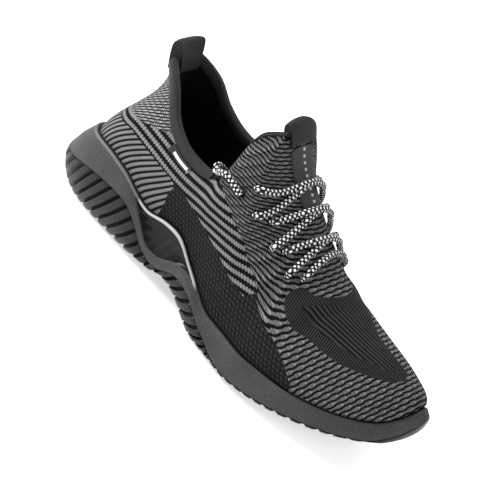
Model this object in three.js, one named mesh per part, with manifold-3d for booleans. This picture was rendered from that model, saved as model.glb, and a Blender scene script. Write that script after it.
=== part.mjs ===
// The right shoe of a pair of low safety shoes, standing empty on its sole.
// Millimetres, +X to the toe, +Y to the inner (medial) side, +Z up, the ground at z = 0.
// The shoe is drawn with x = 0 at the back of the sole, and the whole group is moved at the
// end so that the origin lies on the flat spot under the heel.
// A place on the shoe is given by its side and by "at", which runs from 0 at the middle of
// the heel to 1 at the tip of the toe.
import * as THREE from 'three';
import { mergeVertices } from 'three/addons/utils/BufferGeometryUtils.js';
import Module from 'manifold-3d';

const wasm = await Module();
wasm.setup();

// Driving sizes of the last and the sole
const soleLength = 294;
const ballWidth = 106;
const heelWidth = 79;
const heelRimHeight = 45;
const collarBackHeight = 112;
const collarWidth = 62;
const tongueHeight = 139;
const tongueWidth = 28;
const toeBoxHeight = 62;
const toeSpring = 27;
const archLift = 8;
const heelBevel = 7;

// Walls, layers and clearances
const gap = 0.3;
const upperWall = 2.4;
const rimThickness = 2.6;
const rimInset = 5;
const heelRimInset = 11;
const treadThickness = 4;
const trayWall = 5;
const trayEase = 1;
const trayGap = 0.9;
const shoulderGap = 0.6;
const insoleThickness = 4.5;
const insoleGap = 0.8;
const footGap = 0.5;

// Trimmings
const bindingWidth = 5.5;
const bindingTape = 0.8;
const bindingEndColumn = 17;
const strapThickness = 1.2;
const strapGap = 0.7;
const bindingGap = 0.55;
const heelLoopColumns = 2;
const heelLoopLeg = 8;
const heelLoopRise = 11.5;
const tongueLoopWidth = 28;
const tongueLoopRise = 4;
const tongueLoopEnd = 0.547;
const labelThickness = 0.7;
const labelGap = 0.6;
const labelStart = 0.551;
const labelEnd = 0.622;
const labelWidth = 25;
const labelEndWidth = 20;
const tagStart = 0.243;
const tagEnd = 0.318;
const tagHeight = 5;
const tagClearance = 0.4;
const laceDiameter = 4.4;
const laceSteps = 10;
const laceGap = 0.6;
const barGap = 0.35;
const insertThickness = 0.8;
const insertRecess = 0.8;
const pocketClearance = 0.3;
const heelRestAlong = 0.18;

const LATERAL = -1;
const MEDIAL = 1;
const sides = [LATERAL, MEDIAL];

// Short tables are read by a smooth curve through their rows.
function rowCurve(rows, key, at, flatEnds = false) {
  const last = rows.length - 1;
  const place = Math.min(Math.max(at, rows[0].at), rows[last].at);
  let i = 0;
  while (i < last - 1 && place > rows[i + 1].at) i += 1;
  const slopeAt = (k) => {
    if (flatEnds && (k === 0 || k === last)) return 0;
    const before = rows[Math.max(k - 1, 0)];
    const after = rows[Math.min(k + 1, last)];
    return (after[key] - before[key]) / (after.at - before.at);
  };
  const span = rows[i + 1].at - rows[i].at;
  const s = (place - rows[i].at) / span;
  const rise = s * s * (3 - 2 * s);
  const fromStart = s * (1 - s) * (1 - s) * span * slopeAt(i);
  const fromEnd = s * s * (s - 1) * span * slopeAt(i + 1);
  return rows[i][key] * (1 - rise) + rows[i + 1][key] * rise + fromStart + fromEnd;
}

const mix = (a, b, share) => a + (b - a) * share;
const clamp = (value, low, high) => Math.min(Math.max(value, low), high);
const smooth = (value) => {
  const s = clamp(value, 0, 1);
  return s * s * (3 - 2 * s);
};

// The sole's widest outline: "along" is a share of the sole's length, and the two sides are
// shares of half the heel's or the ball's width, whichever part of the shoe they are in.
const outlineRows = [
  { at: 0.00, along: 0.000, lateral: 0.00, medial: 0.00 },
  { at: 0.05, along: 0.010, lateral: 0.42, medial: 0.42 },
  { at: 0.10, along: 0.046, lateral: 0.745, medial: 0.745 },
  { at: 0.17, along: 0.112, lateral: 0.94, medial: 0.93 },
  { at: 0.27, along: 0.219, lateral: 1.00, medial: 0.95 },
  { at: 0.37, along: 0.337, lateral: 0.965, medial: 0.80 },
  { at: 0.47, along: 0.449, lateral: 0.885, medial: 0.65 },
  { at: 0.57, along: 0.556, lateral: 0.93, medial: 0.72 },
  { at: 0.67, along: 0.663, lateral: 0.99, medial: 0.92 },
  { at: 0.77, along: 0.770, lateral: 0.92, medial: 1.00 },
  { at: 0.86, along: 0.878, lateral: 0.69, medial: 0.90 },
  { at: 0.93, along: 0.950, lateral: 0.39, medial: 0.71 },
  { at: 0.97, along: 0.985, lateral: 0.13, medial: 0.48 },
  { at: 1.00, along: 1.000, lateral: -0.14, medial: 0.14 },
];
const heelPartEnd = 0.30;
const ballPartStart = 0.55;

const alongAt = (at) => rowCurve(outlineRows, 'along', at, true);

function halfWidthAt(along) {
  const share = smooth((along - heelPartEnd) / (ballPartStart - heelPartEnd));
  return mix(heelWidth, ballWidth, share) / 2;
}

// A point past either end of the table goes on round the other side of the shoe.
function outlinePoint(side, at) {
  if (at < 0) return outlinePoint(-side, -at);
  if (at > 1) return outlinePoint(-side, 2 - at);
  const along = alongAt(at);
  const share = rowCurve(outlineRows, side === LATERAL ? 'lateral' : 'medial', at);
  return [along * soleLength, side * share * halfWidthAt(along)];
}

const probe = 0.004;

function outlineNormal(side, at) {
  const before = outlinePoint(side, at - probe);
  const after = outlinePoint(side, at + probe);
  const dx = after[0] - before[0];
  const dy = after[1] - before[1];
  const length = Math.hypot(dx, dy);
  const towardToe = side;
  return [-towardToe * dy / length, towardToe * dx / length];
}

// The outline moved inward by a distance.
function insetPoint(side, at, distance) {
  const [x, y] = outlinePoint(side, at);
  const [nx, ny] = outlineNormal(side, at);
  return [x - nx * distance, y - ny * distance];
}

// Heights of the sole above the ground
const heelContactStart = 0.11;
const archStart = 0.28;
const archEnd = 0.54;
const toeSpringStart = 0.64;
const toeSpringPower = 1.35;

function bottomHeight(along) {
  const back = clamp(1 - along / heelContactStart, 0, 1);
  const arch = clamp((along - archStart) / (archEnd - archStart), 0, 1);
  const toe = clamp((along - toeSpringStart) / (1 - toeSpringStart), 0, 1);
  const archCurve = Math.sin(Math.PI * arch) ** 2;
  return heelBevel * back * back + archLift * archCurve + toeSpring * toe ** toeSpringPower;
}

// Heights above the local bottom as shares of the rim's height at the heel: "ribs" is the
// line where the black ribs end, and "rim" is the top edge of the grey wall.
const wallRows = [
  { at: 0.00, ribs: 0.155, rim: 0.735 },
  { at: 0.09, ribs: 0.38, rim: 0.89 },
  { at: 0.165, ribs: 0.60, rim: 1.02 },
  { at: 0.24, ribs: 0.69, rim: 0.98 },
  { at: 0.285, ribs: 0.675, rim: 0.87 },
  { at: 0.32, ribs: 0.54, rim: 0.80 },
  { at: 0.36, ribs: 0.27, rim: 0.83 },
  { at: 0.40, ribs: 0.15, rim: 0.76 },
  { at: 0.45, ribs: 0.30, rim: 0.55 },
  { at: 0.51, ribs: 0.36, rim: 0.46 },
  { at: 0.57, ribs: 0.24, rim: 0.45 },
  { at: 0.62, ribs: 0.11, rim: 0.45 },
  { at: 0.70, ribs: 0.09, rim: 0.44 },
  { at: 0.78, ribs: 0.09, rim: 0.37 },
  { at: 0.86, ribs: 0.09, rim: 0.32 },
  { at: 0.93, ribs: 0.10, rim: 0.33 },
  { at: 0.965, ribs: 0.24, rim: 0.43 },
  { at: 1.00, ribs: 0.48, rim: 0.60 },
];
const ribLine = (at) => bottomHeight(alongAt(at)) + heelRimHeight * rowCurve(wallRows, 'ribs', at, true);
const rimLine = (at) => bottomHeight(alongAt(at)) + heelRimHeight * rowCurve(wallRows, 'rim', at, true);

// The foot bed under the insole, as heights over the local bottom
const bedRows = [
  { at: 0.00, height: 0.56 },
  { at: 0.25, height: 0.58 },
  { at: 0.45, height: 0.46 },
  { at: 0.65, height: 0.31 },
  { at: 1.00, height: 0.27 },
];
const bedHeight = (along) => bottomHeight(along) + heelRimHeight * rowCurve(bedRows, 'height', along, true);

// The rim stands further in at the back of the heel, where the sole flares.
const flareEnd = 0.17;
const rimInsetAt = (at) => mix(heelRimInset, rimInset, smooth(at / flareEnd));

// Half columns run from the spine of the sole to its edge; at heel and toe they fan out.
const heelFanCentre = 0.15;
const toeFanCentre = 0.84;

function spinePoint(at) {
  const along = clamp(alongAt(at), heelFanCentre, toeFanCentre);
  const rowAt = atForAlong(along);
  const lateral = outlinePoint(LATERAL, rowAt);
  const medial = outlinePoint(MEDIAL, rowAt);
  return [along * soleLength, (lateral[1] + medial[1]) / 2];
}

function atForAlong(along) {
  let low = 0;
  let high = 1;
  while (high - low > 1e-6) {
    const middle = (low + high) / 2;
    if (alongAt(middle) < along) low = middle;
    else high = middle;
  }
  return (low + high) / 2;
}

// Turns triangles given by points into one closed geometry.
function closedGeometry(triangles) {
  const positions = [];
  for (const corners of triangles) {
    for (const corner of corners) positions.push(...corner);
  }
  const geometry = new THREE.BufferGeometry();
  geometry.setAttribute('position', new THREE.Float32BufferAttribute(positions, 3));
  const merged = mergeVertices(geometry, 1e-3);
  const index = merged.index.array;
  const kept = [];
  for (let i = 0; i < index.length; i += 3) {
    const [a, b, c] = [index[i], index[i + 1], index[i + 2]];
    if (a !== b && b !== c && a !== c) kept.push(a, b, c);
  }
  merged.setIndex(kept);
  return merged;
}

// Four corners are split by their shorter diagonal, so that faces laid over each other bend
// along the same lines.
function quad(a, b, c, d) {
  const first = Math.hypot(a[0] - c[0], a[1] - c[1], a[2] - c[2]);
  const second = Math.hypot(b[0] - d[0], b[1] - d[1], b[2] - d[2]);
  return first < second ? [[a, b, c], [a, c, d]] : [[a, b, d], [b, c, d]];
}

// Lays faces between neighbouring columns of points; turned gives the other winding.
function gridTriangles(columns, turned) {
  const triangles = [];
  for (let i = 0; i + 1 < columns.length; i += 1) {
    for (let j = 0; j + 1 < columns[i].length; j += 1) {
      const corners = [columns[i][j], columns[i + 1][j], columns[i + 1][j + 1], columns[i][j + 1]];
      if (turned) corners.reverse();
      triangles.push(...quad(...corners));
    }
  }
  return triangles;
}

// A flat-lying body whose columns run from the spine below, round the edge, to the spine above
function slabGeometry(columnFor, places) {
  const triangles = [];
  for (const side of sides) {
    const columns = places.map((at) => columnFor(side, at));
    triangles.push(...gridTriangles(columns, side === MEDIAL));
  }
  return closedGeometry(triangles);
}

const evenPlaces = (count, from = 0, to = 1) =>
  Array.from({ length: count + 1 }, (_, i) => mix(from, to, i / count));

function toManifold(geometry) {
  const mesh = new wasm.Mesh({
    numProp: 3,
    vertProperties: new Float32Array(geometry.attributes.position.array),
    triVerts: new Uint32Array(geometry.index.array),
  });
  return new wasm.Manifold(mesh);
}

function fromManifold(solid) {
  const mesh = solid.getMesh();
  const geometry = new THREE.BufferGeometry();
  geometry.setAttribute('position', new THREE.Float32BufferAttribute(mesh.vertProperties, 3));
  geometry.setIndex(Array.from(mesh.triVerts));
  return geometry;
}

// Outsole: a tray of black rubber with leaning ribs up its wall and lugs under its edge
const ribPitch = 8.6;
const halfPerimeter = 352;
const ribDepth = 2.2;
const lugDepth = 2.5;
const heelBevelWidth = 12;
const edgeBevel = 5.5;
const toeBevelWidth = 13;
const edgeRound = 3.2;
const lugStart = 0.55;
const smoothRibRows = [
  { at: 0.00, depth: 0.9 },
  { at: 0.08, depth: 1.0 },
  { at: 0.55, depth: 1.0 },
  { at: 0.64, depth: 0.5 },
  { at: 0.90, depth: 0.4 },
  { at: 0.95, depth: 0.0 },
  { at: 1.00, depth: 0.0 },
];
// How far in from the outline the sole touches the ground
const toeBevelStart = 0.88;

function groundInset(at) {
  const midfoot = smooth((at - heelPartEnd) / (ballPartStart - heelPartEnd));
  const toe = smooth((at - toeBevelStart) / (1 - toeBevelStart));
  return mix(heelBevelWidth, edgeBevel, midfoot) + (toeBevelWidth - edgeBevel) * toe;
}

const ribLeanRows = [
  { at: 0.00, lean: 0.0 },
  { at: 0.10, lean: 0.42 },
  { at: 0.27, lean: 0.56 },
  { at: 0.37, lean: 0.70 },
  { at: 0.45, lean: 1.1 },
  { at: 0.54, lean: 1.5 },
  { at: 0.62, lean: 0.6 },
  { at: 0.70, lean: 0.0 },
  { at: 1.00, lean: 0.0 },
];
const ribSteps = [
  { share: 0.00, depth: 1 },
  { share: 0.30, depth: 0 },
  { share: 0.70, depth: 0 },
];

// Shares of a rib's height, and insets of its face, where its section bends
const lugRoundShare = 0.4;
const lowestEdgeShare = 0.8;
const middleShare = 0.55;
const highestMiddleShare = 0.9;
const middleInset = 0.9;
const topInset = 0.6;
const ribTopRounds = 12;

// How far along the shoe a leaning rib has moved at a height above its foot
const leanShift = (at, height) => rowCurve(ribLeanRows, 'lean', at) * height / halfPerimeter;

function ribTop(at) {
  let height = ribLine(at) - bottomHeight(alongAt(at));
  for (let i = 0; i < ribTopRounds; i += 1) {
    const place = clamp(at + leanShift(at, height), 0, 1);
    height = mix(height, ribLine(place) - bottomHeight(alongAt(at)), 0.5);
  }
  return height;
}

const trayFloor = (along) => bottomHeight(along) + treadThickness;
const edgeShare = 0.42;
const trayFootInset = (at) => Math.max(trayWall, groundInset(at) * edgeShare + ribDepth) + trayEase;

function outsoleColumn(side, at, valley) {
  const along = alongAt(at);
  const ground = bottomHeight(along);
  const top = ribTop(at);
  const depth = valley * rowCurve(smoothRibRows, 'depth', at);
  const bevel = groundInset(at);
  const wallPoint = (height, inset) => {
    const place = clamp(at + leanShift(at, height), 0, 1);
    const [x, y] = insetPoint(side, place, inset + depth * ribDepth);
    return [x, y, ground + height];
  };
  const treadPoint = (height, inset) => {
    const [x, y] = insetPoint(side, at, inset + depth * ribDepth);
    return [x, y, bottomHeight(x / soleLength) + height];
  };
  const spine = spinePoint(at);
  const foot = insetPoint(side, at, bevel);
  const flat = [mix(spine[0], foot[0], lugStart), mix(spine[1], foot[1], lugStart)];
  const spineGround = bottomHeight(spine[0] / soleLength);
  const flatGround = bottomHeight(flat[0] / soleLength);
  const topPlace = clamp(at + leanShift(at, top), 0, 1);
  const innerTop = insetPoint(side, topPlace, trayWall);
  const innerFoot = insetPoint(side, at, trayFootInset(at));
  const edgeHeight = Math.min(edgeRound + depth * lugDepth * lugRoundShare, top * lowestEdgeShare);
  const middleHeight = Math.max(top * middleShare, Math.min(edgeRound + 1, top * highestMiddleShare));
  return [
    [...spine, spineGround],
    [...flat, flatGround],
    treadPoint(depth * lugDepth, bevel),
    treadPoint(edgeHeight, bevel * edgeShare),
    wallPoint(middleHeight, middleInset),
    wallPoint(top, topInset),
    [...innerTop, ground + top],
    [...innerFoot, trayFloor(innerFoot[0] / soleLength)],
    [...spine, spineGround + treadThickness],
  ];
}

const ribCount = Math.round(halfPerimeter / ribPitch);

function ribColumns() {
  const columns = [];
  for (let i = 0; i < ribCount; i += 1) {
    for (const step of ribSteps) columns.push({ at: (i + step.share) / ribCount, depth: step.depth });
  }
  columns[0].depth = 0;
  columns.push({ at: 1, depth: 0 });
  return columns;
}

function outsole() {
  const columns = ribColumns();
  const triangles = [];
  for (const side of sides) {
    const grid = columns.map(({ at, depth }) => outsoleColumn(side, at, depth));
    triangles.push(...gridTriangles(grid, side === MEDIAL));
  }
  return closedGeometry(triangles);
}

// Midsole: the grey cup whose wall leans out to the ribs
const plainColumnCount = 46;
const plainColumnEnd = 37 / ribCount;
const midsolePlaces = [
  ...evenPlaces(plainColumnCount, 0, plainColumnEnd),
  ...ribColumns().map((column) => column.at).filter((at) => at > plainColumnEnd + probe / 2),
];
const shoulderInset = 0.8;
const bellyShare = 0.42;
const rimEase = 0.8;
const rimInnerEase = 0.3;

function midsoleColumn(side, at) {
  const spine = spinePoint(at);
  const bedSpine = bedHeight(spine[0] / soleLength);
  const ribs = ribLine(at) + shoulderGap;
  const rim = rimLine(at);
  const inset = rimInsetAt(at);
  const foot = insetPoint(side, at, trayFootInset(at) + trayGap);
  const shoulderInner = insetPoint(side, at, trayWall + trayGap);
  const shoulder = insetPoint(side, at, shoulderInset);
  const belly = insetPoint(side, at, inset * bellyShare);
  const rimOuter = insetPoint(side, at, inset);
  const rimInner = insetPoint(side, at, inset + rimThickness);
  const footHeight = trayFloor(foot[0] / soleLength) + gap;
  return [
    [...spine, trayFloor(spine[0] / soleLength) + gap],
    [...foot, footHeight],
    [...shoulderInner, ribs],
    [...shoulder, ribs],
    [...belly, mix(ribs, rim, 0.5)],
    [...rimOuter, rim - rimEase],
    [...insetPoint(side, at, inset + rimThickness * 0.5), rim],
    [...rimInner, rim - rimInnerEase],
    [...rimInner, bedHeight(rimInner[0] / soleLength)],
    [...spine, bedSpine],
  ];
}

// Upper: one knitted shell, with the tongue in one with it
const tongueAt = 0.53;
const collarRows = [
  { at: 0.00, along: 0.100, across: 0.00, height: 1.00 },
  { at: 0.05, along: 0.105, across: 0.42, height: 1.00 },
  { at: 0.10, along: 0.129, across: 0.60, height: 0.98 },
  { at: 0.15, along: 0.168, across: 0.78, height: 0.93 },
  { at: 0.20, along: 0.213, across: 0.90, height: 0.84 },
  { at: 0.26, along: 0.265, across: 0.98, height: 0.785 },
  { at: 0.32, along: 0.316, across: 1.02, height: 0.775 },
  { at: 0.37, along: 0.357, across: 1.04, height: 0.80 },
  { at: 0.41, along: 0.377, across: 0.98, height: 0.87 },
  { at: 0.45, along: 0.379, across: 0.87, height: 0.99 },
  { at: 0.49, along: 0.381, across: 0.70, height: 1.13 },
];
// The back of the collar stands a little to the inner side of the sole's middle.
const collarSwing = 2.5;
const collarSwingStart = 0.10;
const collarSwingWidth = 0.16;
const collarSwingAt = (at) => collarSwing * (1 - smooth((at - collarSwingStart) / collarSwingWidth));

// The ridge runs from the top of the tongue to a point behind the toe tip: "height" lies
// between the toe box (0) and the tongue (1).
const ridgeRows = [
  { at: 0.53, along: 0.413, height: 1.00 },
  { at: 0.57, along: 0.464, height: 0.74 },
  { at: 0.62, along: 0.541, height: 0.52 },
  { at: 0.67, along: 0.617, height: 0.325 },
  { at: 0.72, along: 0.684, height: 0.19 },
  { at: 0.77, along: 0.745, height: 0.11 },
  { at: 0.82, along: 0.801, height: 0.058 },
  { at: 0.87, along: 0.847, height: 0.030 },
  { at: 0.93, along: 0.878, height: 0.010 },
  { at: 1.00, along: 0.893, height: 0.000 },
];
// How the wall leaves the rim and meets the top: shares of the wall's height and width
const bodyRows = [
  { at: 0.00, rise: 0.36, bulge: -0.08, drop: 0.36, flare: -0.18, crown: 0.45 },
  { at: 0.06, rise: 0.36, bulge: -0.06, drop: 0.36, flare: -0.14, crown: 0.45 },
  { at: 0.12, rise: 0.36, bulge: 0.01, drop: 0.36, flare: -0.05, crown: 0.45 },
  { at: 0.20, rise: 0.36, bulge: 0.09, drop: 0.35, flare: 0.05, crown: 0.45 },
  { at: 0.32, rise: 0.36, bulge: 0.10, drop: 0.35, flare: 0.10, crown: 0.50 },
  { at: 0.42, rise: 0.36, bulge: 0.08, drop: 0.35, flare: 0.16, crown: 0.50 },
  { at: 0.53, rise: 0.40, bulge: 0.04, drop: 0.35, flare: 0.20, crown: 0.86 },
  { at: 0.58, rise: 0.42, bulge: 0.05, drop: 0.35, flare: 0.20, crown: 0.55 },
  { at: 0.64, rise: 0.47, bulge: 0.06, drop: 0.35, flare: 0.20, crown: 0.43 },
  { at: 0.72, rise: 0.55, bulge: 0.10, drop: 0.35, flare: 0.20, crown: 0.48 },
  { at: 0.85, rise: 0.62, bulge: 0.12, drop: 0.35, flare: 0.20, crown: 0.52 },
  { at: 1.00, rise: 0.62, bulge: 0.14, drop: 0.35, flare: 0.20, crown: 0.55 },
];

// The middle line of the vamp swings to the inner side with the toe.
const toeSwing = 5;
const toeShare = (at) => smooth((at - tongueAt) / (1 - tongueAt));
const ridgeHeight = (at) => mix(toeBoxHeight, tongueHeight, rowCurve(ridgeRows, 'height', at));
const ridgePoint = (at) => [
  rowCurve(ridgeRows, 'along', at) * soleLength,
  toeSwing * toeShare(at),
  ridgeHeight(at),
];

function footprint(side, at) {
  return insetPoint(side, at, rimInsetAt(clampedAt(at)) + rimThickness + footGap);
}

function clampedAt(at) {
  if (at < 0) return -at;
  if (at > 1) return 2 - at;
  return at;
}

const body = (key, at) => rowCurve(bodyRows, key, at, true);

function bezier(points, v) {
  const u = 1 - v;
  const weights = [u * u * u, 3 * u * u * v, 3 * u * v * v, v * v * v];
  return [0, 1, 2].map((axis) => points.reduce((sum, point, i) => sum + point[axis] * weights[i], 0));
}

const plus = (a, b, scale = 1) => [a[0] + b[0] * scale, a[1] + b[1] * scale, a[2] + b[2] * scale];
const minus = (a, b) => [a[0] - b[0], a[1] - b[1], a[2] - b[2]];

// At the toe the ribs turn from straight across the shoe to a fan round the ridge's end.
const fanStart = 0.80;
const fanWidth = 0.12;
const toeTip = 0.999;

// A whole rib goes from the rim over the side to the ridge.
function wholeRib(side, at) {
  const [x, y] = footprint(side, at);
  const foot = [x, y, rimLine(at)];
  const top = ridgePoint(at);
  const [nx, ny] = outlineNormal(side, at);
  const height = top[2] - foot[2];
  const reach = Math.hypot(foot[0] - top[0], foot[1] - top[1]);
  const before = ridgePoint(Math.max(at - probe, tongueAt));
  const after = ridgePoint(Math.min(at + probe, 1));
  const slope = (after[2] - before[2]) / (after[0] - before[0]);
  const ux = (foot[0] - top[0]) / reach;
  const uy = (foot[1] - top[1]) / reach;
  const sideways = smooth((at - fanStart) / fanWidth);
  const dx = ux * sideways;
  const dy = at > toeTip ? 0 : side * Math.sqrt(1 - dx * dx);
  const crown = body('crown', at) * reach;
  const bulge = body('bulge', at) * height;
  return [
    foot,
    plus(foot, [nx * bulge, ny * bulge, body('rise', at) * height]),
    plus(top, [dx, mix(dy, uy, sideways), slope * dx], crown),
    top,
  ];
}

// The first part of a rib, up to the share v, as a rib of its own
function ribPart(points, v) {
  const between = (a, b) => plus(a, minus(b, a), v);
  const [a, b, c, d] = points;
  const ab = between(a, b);
  const bc = between(b, c);
  const cd = between(c, d);
  const abc = between(ab, bc);
  const bcd = between(bc, cd);
  return [a, ab, abc, between(abc, bcd)];
}

// Where a rib reaches a distance from the ridge
function shareAtWidth(points, halfWidth) {
  const middle = points[3][1];
  let low = 0;
  let high = 1;
  while (high - low > 1e-7) {
    const v = (low + high) / 2;
    if (Math.abs(bezier(points, v)[1] - middle) > halfWidth) low = v;
    else high = v;
  }
  return (low + high) / 2;
}

function tongueCorner(side) {
  const points = wholeRib(side, tongueAt);
  return ribPart(points, shareAtWidth(points, tongueWidth / 2));
}

const corners = { [LATERAL]: tongueCorner(LATERAL), [MEDIAL]: tongueCorner(MEDIAL) };

function topLine(side, at) {
  const corner = corners[side][3];
  const rows = collarRows.map((row) => ({
    at: row.at,
    x: row.along * soleLength,
    y: side * row.across * collarWidth / 2 + collarSwingAt(row.at),
    z: row.height * collarBackHeight,
  }));
  rows.push({ at: tongueAt, x: corner[0], y: corner[1], z: corner[2] });
  if (at <= 0) return [rows[0].x, rows[0].y, rows[0].z];
  const flatHeel = at < rows[1].at;
  const x = rowCurve(rows, 'x', at, flatHeel);
  const z = rowCurve(rows, 'z', at, flatHeel);
  return [x, rowCurve(rows, 'y', at), z];
}

const tongueBlendStart = 0.36;

// A side rib goes from the rim to the collar or to the tongue's edge.
function sideRib(side, at) {
  if (at < 0) return sideRib(-side, -at);
  if (at > 1) return sideRib(-side, 2 - at);
  if (at >= tongueAt) {
    const points = wholeRib(side, at);
    return ribPart(points, shareAtWidth(points, centreHalfWidth(at)));
  }
  const [x, y] = footprint(side, at);
  const foot = [x, y, rimLine(at)];
  const top = topLine(side, at);
  const [nx, ny] = outlineNormal(side, at);
  const height = top[2] - foot[2];
  const bulge = body('bulge', at) * height;
  const flare = body('flare', at) * height;
  const corner = corners[side];
  const share = smooth((at - tongueBlendStart) / (tongueAt - tongueBlendStart));
  const leave = [nx * bulge, ny * bulge, body('rise', at) * height];
  const arrive = [nx * flare, ny * flare, -body('drop', at) * height];
  const cornerLeave = minus(corner[1], corner[0]);
  const cornerArrive = minus(corner[2], corner[3]);
  const blend = (a, b) => plus(a, minus(b, a), share);
  return [foot, plus(foot, blend(leave, cornerLeave)), plus(top, blend(arrive, cornerArrive)), top];
}

// The middle panel, as wide as the tongue at its top, narrows to the toe.
const toePanelWidth = 2;
const centreHalfWidth = (at) => mix(tongueWidth, toePanelWidth, toeShare(at)) / 2;
const panelEnd = 0.999;

const upperPoint = (side, at, v) => bezier(sideRib(side, at), v);

function middlePoint(side, at, w) {
  if (at > 1) return middlePoint(-side, 2 - at, w);
  const points = wholeRib(side, at);
  const start = shareAtWidth(points, centreHalfWidth(at));
  return bezier(points, mix(start, 1, w));
}

const cross = (a, b) => [
  a[1] * b[2] - a[2] * b[1],
  a[2] * b[0] - a[0] * b[2],
  a[0] * b[1] - a[1] * b[0],
];

function unit(a) {
  const length = Math.hypot(...a);
  return a.map((value) => value / length);
}

function surfaceNormal(pointAt, side, at, v) {
  const lowAt = at - probe;
  const highAt = at + probe;
  const along = minus(pointAt(side, highAt, v), pointAt(side, lowAt, v));
  const up = minus(pointAt(side, at, Math.min(v + probe, 1)), pointAt(side, at, Math.max(v - probe, 0)));
  const normal = unit(cross(along, up));
  return side === LATERAL ? normal : normal.map((value) => -value);
}

function sideNormal(side, at, v) {
  return surfaceNormal(upperPoint, side, at, v);
}

function middleNormal(side, at, w) {
  if (w > panelEnd) {
    const before = ridgePoint(Math.max(at - probe, tongueAt));
    const after = ridgePoint(Math.min(at + probe, 1));
    return unit([before[2] - after[2], 0, after[0] - before[0]]);
  }
  return surfaceNormal(middlePoint, side, Math.max(at, tongueAt + probe), w);
}

const outerRowCount = 7;
const innerRowCount = 5;
const middleRowCount = 3;
const collarColumnCount = 24;
const ridgeColumnCount = 17;

// The share of a side rib at a distance below its top end
function shareBelowTop(side, at, distance) {
  const points = sideRib(side, at);
  const step = 0.005;
  let v = 1;
  let walked = 0;
  while (walked < distance && v > step) {
    walked += Math.hypot(...minus(bezier(points, v), bezier(points, v - step)));
    v -= step;
  }
  return v;
}

// Ribs meet the tongue's edge at a slant, so the tape's width is longer along them there.
const slantedTape = 1.5;
const slantStart = 0.38;
const slantWidth = 0.08;
const tapeSlant = (at) => mix(1, slantedTape, smooth((at - slantStart) / slantWidth));
const toeTapeShare = 0.9;
const nearTop = 0.97;

function tapeShare(side, at) {
  const place = Math.min(Math.abs(at), tongueAt);
  const share = shareBelowTop(side, place, bindingWidth * tapeSlant(place));
  return mix(share, toeTapeShare, toeShare(at));
}

const collarPlaces = evenPlaces(collarColumnCount, 0, tongueAt);
const ridgePlaces = evenPlaces(ridgeColumnCount, tongueAt, 1);

// One line of points up the wall, at a depth under its outer face, from the foot bed to the
// collar, or over the middle panel to the ridge.
function sideColumn(side, at, depth, rows) {
  const [fx, fy] = footprint(side, at);
  const [nx, ny] = outlineNormal(side, at);
  const bed = bedHeight(fx / soleLength) + gap;
  const column = [[fx - nx * depth, fy - ny * depth, bed]];
  const tape = tapeShare(side, at);
  const shares = [...evenPlaces(rows - 1, 0, tape), 1];
  shares.forEach((v, j) => {
    const normal = j === 0 ? [nx, ny, 0] : sideNormal(side, at, v);
    column.push(plus(upperPoint(side, at, v), normal, -depth));
  });
  return column;
}

function middleColumn(side, at, depth) {
  const start = plus(upperPoint(side, at, 1), sideNormal(side, at, 1), -depth);
  const rest = evenPlaces(middleRowCount).slice(1)
    .map((w) => plus(middlePoint(side, at, w), middleNormal(side, at, w), -depth));
  return [start, ...rest];
}

function upper() {
  const places = [...collarPlaces, ...ridgePlaces.slice(1)];
  const triangles = [];
  for (const side of sides) {
    const medial = side === MEDIAL;
    const outer = places.map((at) => sideColumn(side, at, 0, outerRowCount));
    const inner = places.map((at) => sideColumn(side, at, upperWall, innerRowCount));
    const outerMiddle = ridgePlaces.map((at) => middleColumn(side, at, 0));
    const innerMiddle = ridgePlaces.map((at) => middleColumn(side, at, upperWall));
    const last = (column) => column[column.length - 1];
    const foot = outer.map((column, i) => [inner[i][0], column[0]]);
    const collar = collarPlaces.map((at, i) => [last(outer[i]), last(inner[i])]);
    const tongueTop = outerMiddle[0].map((point, j) => [point, innerMiddle[0][j]]);
    triangles.push(...gridTriangles(outer, medial), ...gridTriangles(outerMiddle, medial));
    triangles.push(...gridTriangles(inner, !medial), ...gridTriangles(innerMiddle, !medial));
    triangles.push(...gridTriangles(foot, medial), ...gridTriangles(collar, medial));
    triangles.push(...gridTriangles(tongueTop, medial));
  }
  return closedGeometry(triangles);
}

const dot = (a, b) => a[0] * b[0] + a[1] * b[1] + a[2] * b[2];

// Fills a flat or nearly flat ring of points.
function capTriangles(ring) {
  const turnsTo = (point, i) => cross(point, ring[(i + 1) % ring.length]);
  const normal = unit(ring.map(turnsTo).reduce((sum, value) => plus(sum, value)));
  const right = unit(cross(normal, minus(ring[1], ring[0])));
  const over = cross(normal, right);
  const flat = ring.map((point) => new THREE.Vector2(dot(point, right), dot(point, over)));
  return THREE.ShapeUtils.triangulateShape(flat, []).map((face) => face.map((i) => ring[i]));
}

// Closes a row of equal rings of points into a solid.
function ringSolid(rings, turned) {
  const closed = rings.map((ring) => [...ring, ring[0]]);
  const first = capTriangles(rings[0]);
  const last = capTriangles(rings[rings.length - 1]);
  (turned ? first : last).forEach((face) => face.reverse());
  const triangles = [...gridTriangles(closed, turned), ...first, ...last];
  return closedGeometry(triangles);
}

// Straight up from the top edge of the wall, square to the edge
function edgeUp(side, at) {
  const along = minus(topLine(side, Math.abs(at) + probe), topLine(side, Math.max(Math.abs(at) - probe, 0)));
  const up = unit(minus(upperPoint(side, at, 1), upperPoint(side, at, nearTop)));
  const way = at === 0 ? [0, 1, 0] : unit(along);
  return unit(plus(up, way, -dot(up, way)));
}

// Collar binding: a tape folded over the edge of the wall, from one side of the tongue round
// the heel to the other
const bindingShoulder = 0.4;

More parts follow.
